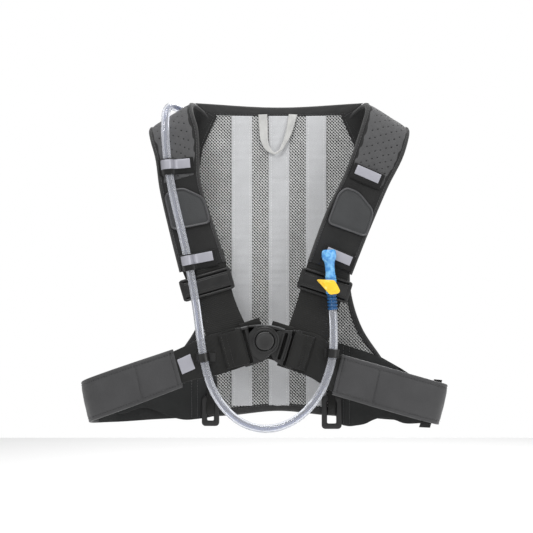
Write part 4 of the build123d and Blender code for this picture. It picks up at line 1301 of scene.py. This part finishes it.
hub_rim = arc(HUB_RADIUS, np.radians(np.linspace(118, -78, 30)))
ridge_arc = np.array(arc(RIDGE_RADIUS, np.radians(np.linspace(105, -52, 40))))
ridge_line = np.vstack([ridge_arc, np.linspace(ridge_arc[-1], RIDGE_END, 12)[1:]])
brow_line = smooth_line(BROW_EDGE, 40)
housing_slot = slot_outline(4.6, 42, 1.5, (-HOUSING_BAR + 5.6, 0))
piece("buckle_body", [
    plate([soften(HOUSING_OUTLINE, 3), housing_slot], at_depth(PLATE_BACK), PLATE_THICKNESS, 0.8, 3,
          -HOUSING_OUT),
    plate([hub_rim + HUB_REST, circle_outline(11.3), HUB_NOTCH], at_depth(HUB_BACK), 5.6, 0.7, 3),
    plate([circle_outline(14.2), circle_outline(11.6)], at_depth(COLLAR_BACK), 1.5, 0.7, 3),
    sweep(on_buckle(ridge_line, COLLAR_BACK - 0.1), 0.85),
    plate([brow_line.tolist() + BROW_REST], at_depth(HUB_BACK - 0.2), 3.0, 0.7),
], "black_plastic", "buckle_housing")
# A bead along the brow's top edge, in lighter plastic as a painted highlight
piece("buckle_edge_highlight_bead", [sweep(on_buckle(brow_line - (0, 0.5), -62.6), 0.8)], "edge_highlight_plastic")
piece("buckle_press_button", [revolve(BUTTON_PROFILE, at_depth(BUTTON_BACK), OUTWARD, 48)],
      "button_plastic", "buckle_button", body="button")

tongue_outlines = [soften(TONGUE_OUTLINE, 2.5), slot_outline(3.4, 32.5, 1.2, (21.9, 0)),
                   slot_outline(4.6, 42, 1.5, (TONGUE_BAR - 5.6, 0))]
tongue_bodies = [
    plate(tongue_outlines, at_depth(PLATE_BACK), PLATE_THICKNESS, 0.8, 3, TONGUE_OUT),
    plate([slot_outline(6.2, 47, 2.2, (TONGUE_BAR, 0))], at_depth(-60.6), 1.3, 0.6, 3, TONGUE_OUT),
]
for x, height in ((18.6, 1.6), (25.0, 2.0), (27.6, 1.4)):
    rung = slot_outline(2.0, 31, 0.9, (x, -0.5))
    tongue_bodies.append(plate([rung], at_depth(-61.2), height, across=TONGUE_OUT))
piece("buckle_tongue_plate", tongue_bodies, "black_plastic", "buckle_tongue", body="tongue")

# Webbing turned round the buckle's bars: inwards from the bar and out from the belt's front
WRAP_WIDTH = 41.0
WRAP_SEAM_HALF = 18
WRAP_REACH = {LEFT: 1.0, RIGHT: 0.83}
WRAP_PATH = [(-24, 0.9), (-12, 0.9), (-1.5, 0.9), (2.2, 1.7), (3.9, 4.6), (2.9, 7.4), (0.0, 8.7),
             (-5.0, 8.4), (-9.0, 7.0), (-13.5, 4.4), (-18.0, 2.9), (-22.5, 2.5)]
WRAP_SEAMS = ((-14.5, 4.9), (-20.5, 3.7))
# Ends of the webbing, tucked behind the buckle
TAILS = {
    LEFT: [((-47, -76), (-33.2, -124)), ((-23.5, -68.4), (-9.8, -115.4))],
    RIGHT: [((-7.5, -72.2), (-20.7, -114)), ((17, -80), (3.8, -122))],
}
TAIL_DEPTHS = {LEFT: -56.0, RIGHT: -55.2}
HALVES = ((LEFT, HOUSING_OUT, HOUSING_BAR, "pack"), (RIGHT, TONGUE_OUT, TONGUE_BAR, "tongue"))

for side, out, bar, owner in HALVES:
    name, reach = SIDE_NAMES[side], WRAP_REACH[side]
    bar_point = at_depth(BELT_FRONT) + out * bar
    width_way = np.array([out[2], 0, -out[0]])
    half_width = width_way * WRAP_WIDTH / 2
    path = smooth_line([(x * reach if x < -9 else x, h) for x, h in WRAP_PATH], 36)
    sections = []
    for (x, h), (dx, dh) in zip(path, unit(np.gradient(path, axis=0))):
        point = bar_point - out * x + (0, -h, 0)
        sections.append((point - half_width, point + half_width, (0, dx, 0) - out * dh))
    body = strap(ribbon_through(sections, 1.0), 1.5, 14, 0.0, webbing_relief)
    piece(f"webbing_turn_{name}", [body], "webbing", f"strap_wrap_{name}", body=owner)
    seams = []
    for x, h in WRAP_SEAMS:
        point, half_seam = bar_point - out * x * reach + (0, -h, 0), width_way * WRAP_SEAM_HALF
        seams.append(stitches(np.linspace(point - half_seam, point + half_seam, 8), 2.2, 0.9, 0.25))
    piece(f"webbing_turn_stitching_{name}", seams, "black_thread", body=owner)
    tail = ribbon_through(flat(TAILS[side], TAIL_DEPTHS[side]), 1.6)
    piece(f"webbing_end_{name}", [strap(tail, 1.6, 14, 0.1, webbing_relief)], "webbing", body=owner)

# --- Lashing rings and their tabs ---
RING_PLACES = {LEFT: (-82, -182), RIGHT: (63, -183.5)}
RING_SIZES = {LEFT: (21, 36), RIGHT: (24, 40)}
RING_BAR = 6.6
TAB_HALF = 4.5
TAB_SEAM_HALF = 3.4
# The tab's path round the ring: depth, and height above the ring's top
TAB_PATH = [(-0.5, 9.5), (-0.6, 0), (-1.0, -20), (-3.6, -23), (-6.2, -20), (-6.0, 0), (-2.6, 7.5),
            (-1.8, 10)]
tabs, tab_seams = [], []
for side, name in SIDE_NAMES.items():
    (x, z), (width, height) = RING_PLACES[side], RING_SIZES[side]
    outlines = [slot_outline(width, height, 4.5),
                slot_outline(width - 2 * RING_BAR, height - 2 * RING_BAR, 1.5)]
    piece(f"lashing_ring_{name}", [plate(outlines, (x, -2.0, z), 3.4, 1.2, 4)], "black_plastic",
          f"belt_ring_{name}")
    top = z + height / 2
    path = smooth_line([(y, top + above) for y, above in TAB_PATH], 30)
    sections = [((x - TAB_HALF, y, h), (x + TAB_HALF, y, h), (0, dh, -dy))
                for (y, h), (dy, dh) in zip(path, unit(np.gradient(path, axis=0)))]
    tabs.append(strap(ribbon_through(sections, 1.0), 1.1))
    seam = [(x + end * TAB_SEAM_HALF, -5.0, top + 2.6) for end in (-1, 1)]
    tab_seams.append(stitches(seam, 1.8, 0.7, 0.22))
piece("ring_webbing_tabs", tabs, "webbing", "ring_tabs")
piece("ring_tab_stitching", tab_seams, "dark_thread")

# --- Pack on the far side ---
PACK_REAR = PANEL_THICKNESS + 50.0
PACK_OUTLINE = [(76, -166), (82, 50), (76, 118), (46, 160), (-46, 160), (-76, 118), (-82, 50),
                (-76, -166)]
PACK_PROFILE = [(0, 19), (0, 33), (0, 44), (0.8, 49), (2.8, 53), (6, 54.6), (12, PACK_REAR)]
POCKET_CENTRE = (-18.0, -30.0)
POCKET_SIZE = (92.0, 210.0)
POCKET_REAR = PACK_REAR + 18.0
REAR_POCKET_PROFILE = [(0, 60), (0, 66), (0.8, 69.5), (2.6, 72), (6, POCKET_REAR)]
# Each zip's centre and length, and the face that it lies on
ZIPS = {"main": (52.0, -5.0, 210.0, PACK_REAR), "pocket": (-2.0, -30.0, 150.0, POCKET_REAR)}
ZIP_HALF = 12
TOOTH_PITCH = 1.5
# A tooth's line, out from the middle and up from the face, and its radius along it
TOOTH = ((2.4, 1.15), (1.2, 2.1), (-0.5, 1.9))
TOOTH_RADII = (0.42, 0.5, 0.38)
CLOTH_FRAMES = 20
CLOTH_PRESSURE = 4.0


def shaped(made):
    """An object's mesh with its modifiers applied, which are then removed."""
    mesh = bpy.data.meshes.new_from_object(made.evaluated_get(bpy.context.evaluated_depsgraph_get()))
    made.modifiers.clear()
    return mesh


def inflate(made, voxel, held, cap):
    """Swells a closed cloth body by simulation.

    held tells which points stay put, and no point moves further than cap.
    """
    bpy.context.view_layer.objects.active = made
    remesh = made.modifiers.new("remesh", "REMESH")
    remesh.mode = "VOXEL"
    remesh.voxel_size = voxel * MM
    mesh = made.data = shaped(made)
    rest = points_of(mesh)
    pins = made.vertex_groups.new(name="pins")
    pins.add(np.nonzero(held(*rest.T))[0].tolist(), 1.0, "REPLACE")
    cloth = made.modifiers.new("cloth", "CLOTH")
    cloth.settings.use_pressure = True
    cloth.settings.uniform_pressure_force = CLOTH_PRESSURE
    cloth.settings.effector_weights.gravity = 0
    cloth.settings.vertex_group_mass = "pins"
    cloth.settings.quality = 5
    cloth.point_cache.frame_end = CLOTH_FRAMES
    for number in range(1, CLOTH_FRAMES + 1):
        bpy.context.scene.frame_set(number)
    moved = points_of(made.evaluated_get(bpy.context.evaluated_depsgraph_get()).data) - rest
    made.modifiers.clear()
    made.vertex_groups.clear()
    bpy.context.scene.frame_set(1)
    far = np.linalg.norm(moved, axis=1, keepdims=True)
    moved *= np.minimum(1, cap / np.maximum(far, SMALLEST))
    mesh.vertices.foreach_set("co", ((rest + moved) * MM).ravel())
    with editing(mesh) as work:
        for _ in range(2):
            bmesh.ops.smooth_vert(work, verts=work.verts, factor=0.4, use_axis_x=True, use_axis_y=True,
                                  use_axis_z=True)
    mesh.polygons.foreach_set("use_smooth", [True] * len(mesh.polygons))
    finer = made.modifiers.new("finer", "SUBSURF")
    finer.levels = finer.render_levels = 1
    made.data = shaped(made)


def near_zip(name, x, z, reach):
    centre_x, centre_z, length, _ = ZIPS[name]
    return (abs(x - centre_x) < reach) & (abs(z - centre_z) < length / 2 + 8)


def pack_held(x, y, z):
    """The front, and on the rear face the zip, the pocket's place and the rim's seam."""
    rim_gap = np.min(np.hypot(*(np.stack([x, z])[:, :, None] - pack_seam.T[:, None, :])), axis=1)
    width, height = POCKET_SIZE
    pocket = (abs(x - POCKET_CENTRE[0]) < width / 2 + 3) & (abs(z - POCKET_CENTRE[1]) < height / 2 + 3)
    return (y < 14) | ((y > 40) & (near_zip("main", x, z, 15) | pocket | ((rim_gap < 4) & (y > 48))))


def pocket_held(x, y, z):
    return (y < 58) | ((y > 62) & near_zip("pocket", x, z, 14))


pack_rim = even(soften(PACK_OUTLINE, 16), 5.0)
pack_seam = inset(pack_rim, 3.2)
pack = piece("pack_bag", [cushion(pack_rim, PACK_PROFILE, PANEL_THICKNESS)], "pack_cloth",
             "pack_shell")
inflate(pack, 6.0, pack_held, 5.5)
pocket_rim = even(np.array(slot_outline(*POCKET_SIZE, 15, POCKET_CENTRE)), 4.0)
pocket_body = cushion(pocket_rim, REAR_POCKET_PROFILE, PACK_REAR - 1.5)
pocket = piece("rear_pocket_bag", [pocket_body], "pack_cloth", "pocket_shell")
inflate(pocket, 5.0, pocket_held, 4.0)

piece("pack_piping", [sweep(upright(pack_seam, 53.3), 1.3, closed=True),
                      sweep(upright(inset(pocket_rim, 2.4), 71.8), 1.1, closed=True)], "binding")
pocket_base = upright(inset(pocket_rim, -3.2), PACK_REAR + 0.2)
pocket_base = np.vstack([pocket_base, pocket_base[:1]])
piece("pocket_base_stitching", [stitches(pocket_base, 2.6, 1.2, 0.28)], "dark_thread")
backing = plate([panel_outline], (0, PANEL_THICKNESS + 0.8, 0), 1.0, 0.3, 1)
piece("rear_backing_cloth", [backing], "pack_cloth")

zip_relief = cloth_relief([(0.15, 0.05, 1.0)], [(2.6, 0.2, 0.6)])
for name, (zip_x, zip_z, length, face) in ZIPS.items():
    ends = (zip_z - length / 2, zip_z + length / 2)
    sections = [((zip_x - ZIP_HALF, face + 0.6, z), (zip_x + ZIP_HALF, face + 0.6, z), REARWARD)
                for z in ends]
    tape = ribbon_through(sections, 1.6)
    piece(f"{name}_zip_band", [strap(tape, 1.1, 16, 0.1, zip_relief)], "webbing", f"{name}_zip_tape")
    piece(f"{name}_zip_stitching", hem_stitches(tape, 2.6, 0.75, 2.3, 1.0, 0.25), "dark_thread")
    coil = []
    for k in range(int((length - 6) / TOOTH_PITCH)):
        z = ends[0] + 3.4 + k * TOOTH_PITCH
        for side, shift in ((LEFT, 0.0), (RIGHT, TOOTH_PITCH / 2)):
            tooth = [(zip_x + side * out, face + rise, z + shift) for out, rise in TOOTH]
            coil.append(sweep(tooth, TOOTH_RADII, 5))
    piece(f"{name}_zip_coil", coil, "black_plastic", f"{name}_zip_teeth")

# --- CAD nodes that keep their shape, and the floor ---
NODE_FINISHES = {
    "tube_port": "rubber",
    "tube_clip_left": "black_plastic",
    "tube_clip_right": "black_plastic",
    "bladder": "clear_tpu",
    "inner_tube": "clear_hose",
    "fill_cap": "blue_plastic",
    "bladder_hanger": "webbing",
    "hose_connector": "blue_plastic",
    "main_zip_slider": "zip_metal",
    "main_zip_pull": "zip_metal",
    "pocket_zip_slider": "zip_metal",
    "pocket_zip_pull": "zip_metal",
}
FLOOR_HALF = 2
FLOOR_HEIGHT = -0.42

for node, finish in NODE_FINISHES.items():
    nodes[node].data.materials.clear()
    nodes[node].data.materials.append(FINISHES[finish].material)

floor_mesh = bpy.data.meshes.new("floor")
signs = ((-1, -1), (1, -1), (1, 1), (-1, 1))
floor_corners = [(x * FLOOR_HALF, y * FLOOR_HALF, FLOOR_HEIGHT) for x, y in signs]
floor_mesh.from_pydata(floor_corners, [], [(0, 1, 2, 3)])
floor = bpy.data.objects.new("floor", floor_mesh)
bpy.context.scene.collection.objects.link(floor)
floor_mesh.materials.append(Finish("pale_floor", tone(246), 0.8).material)
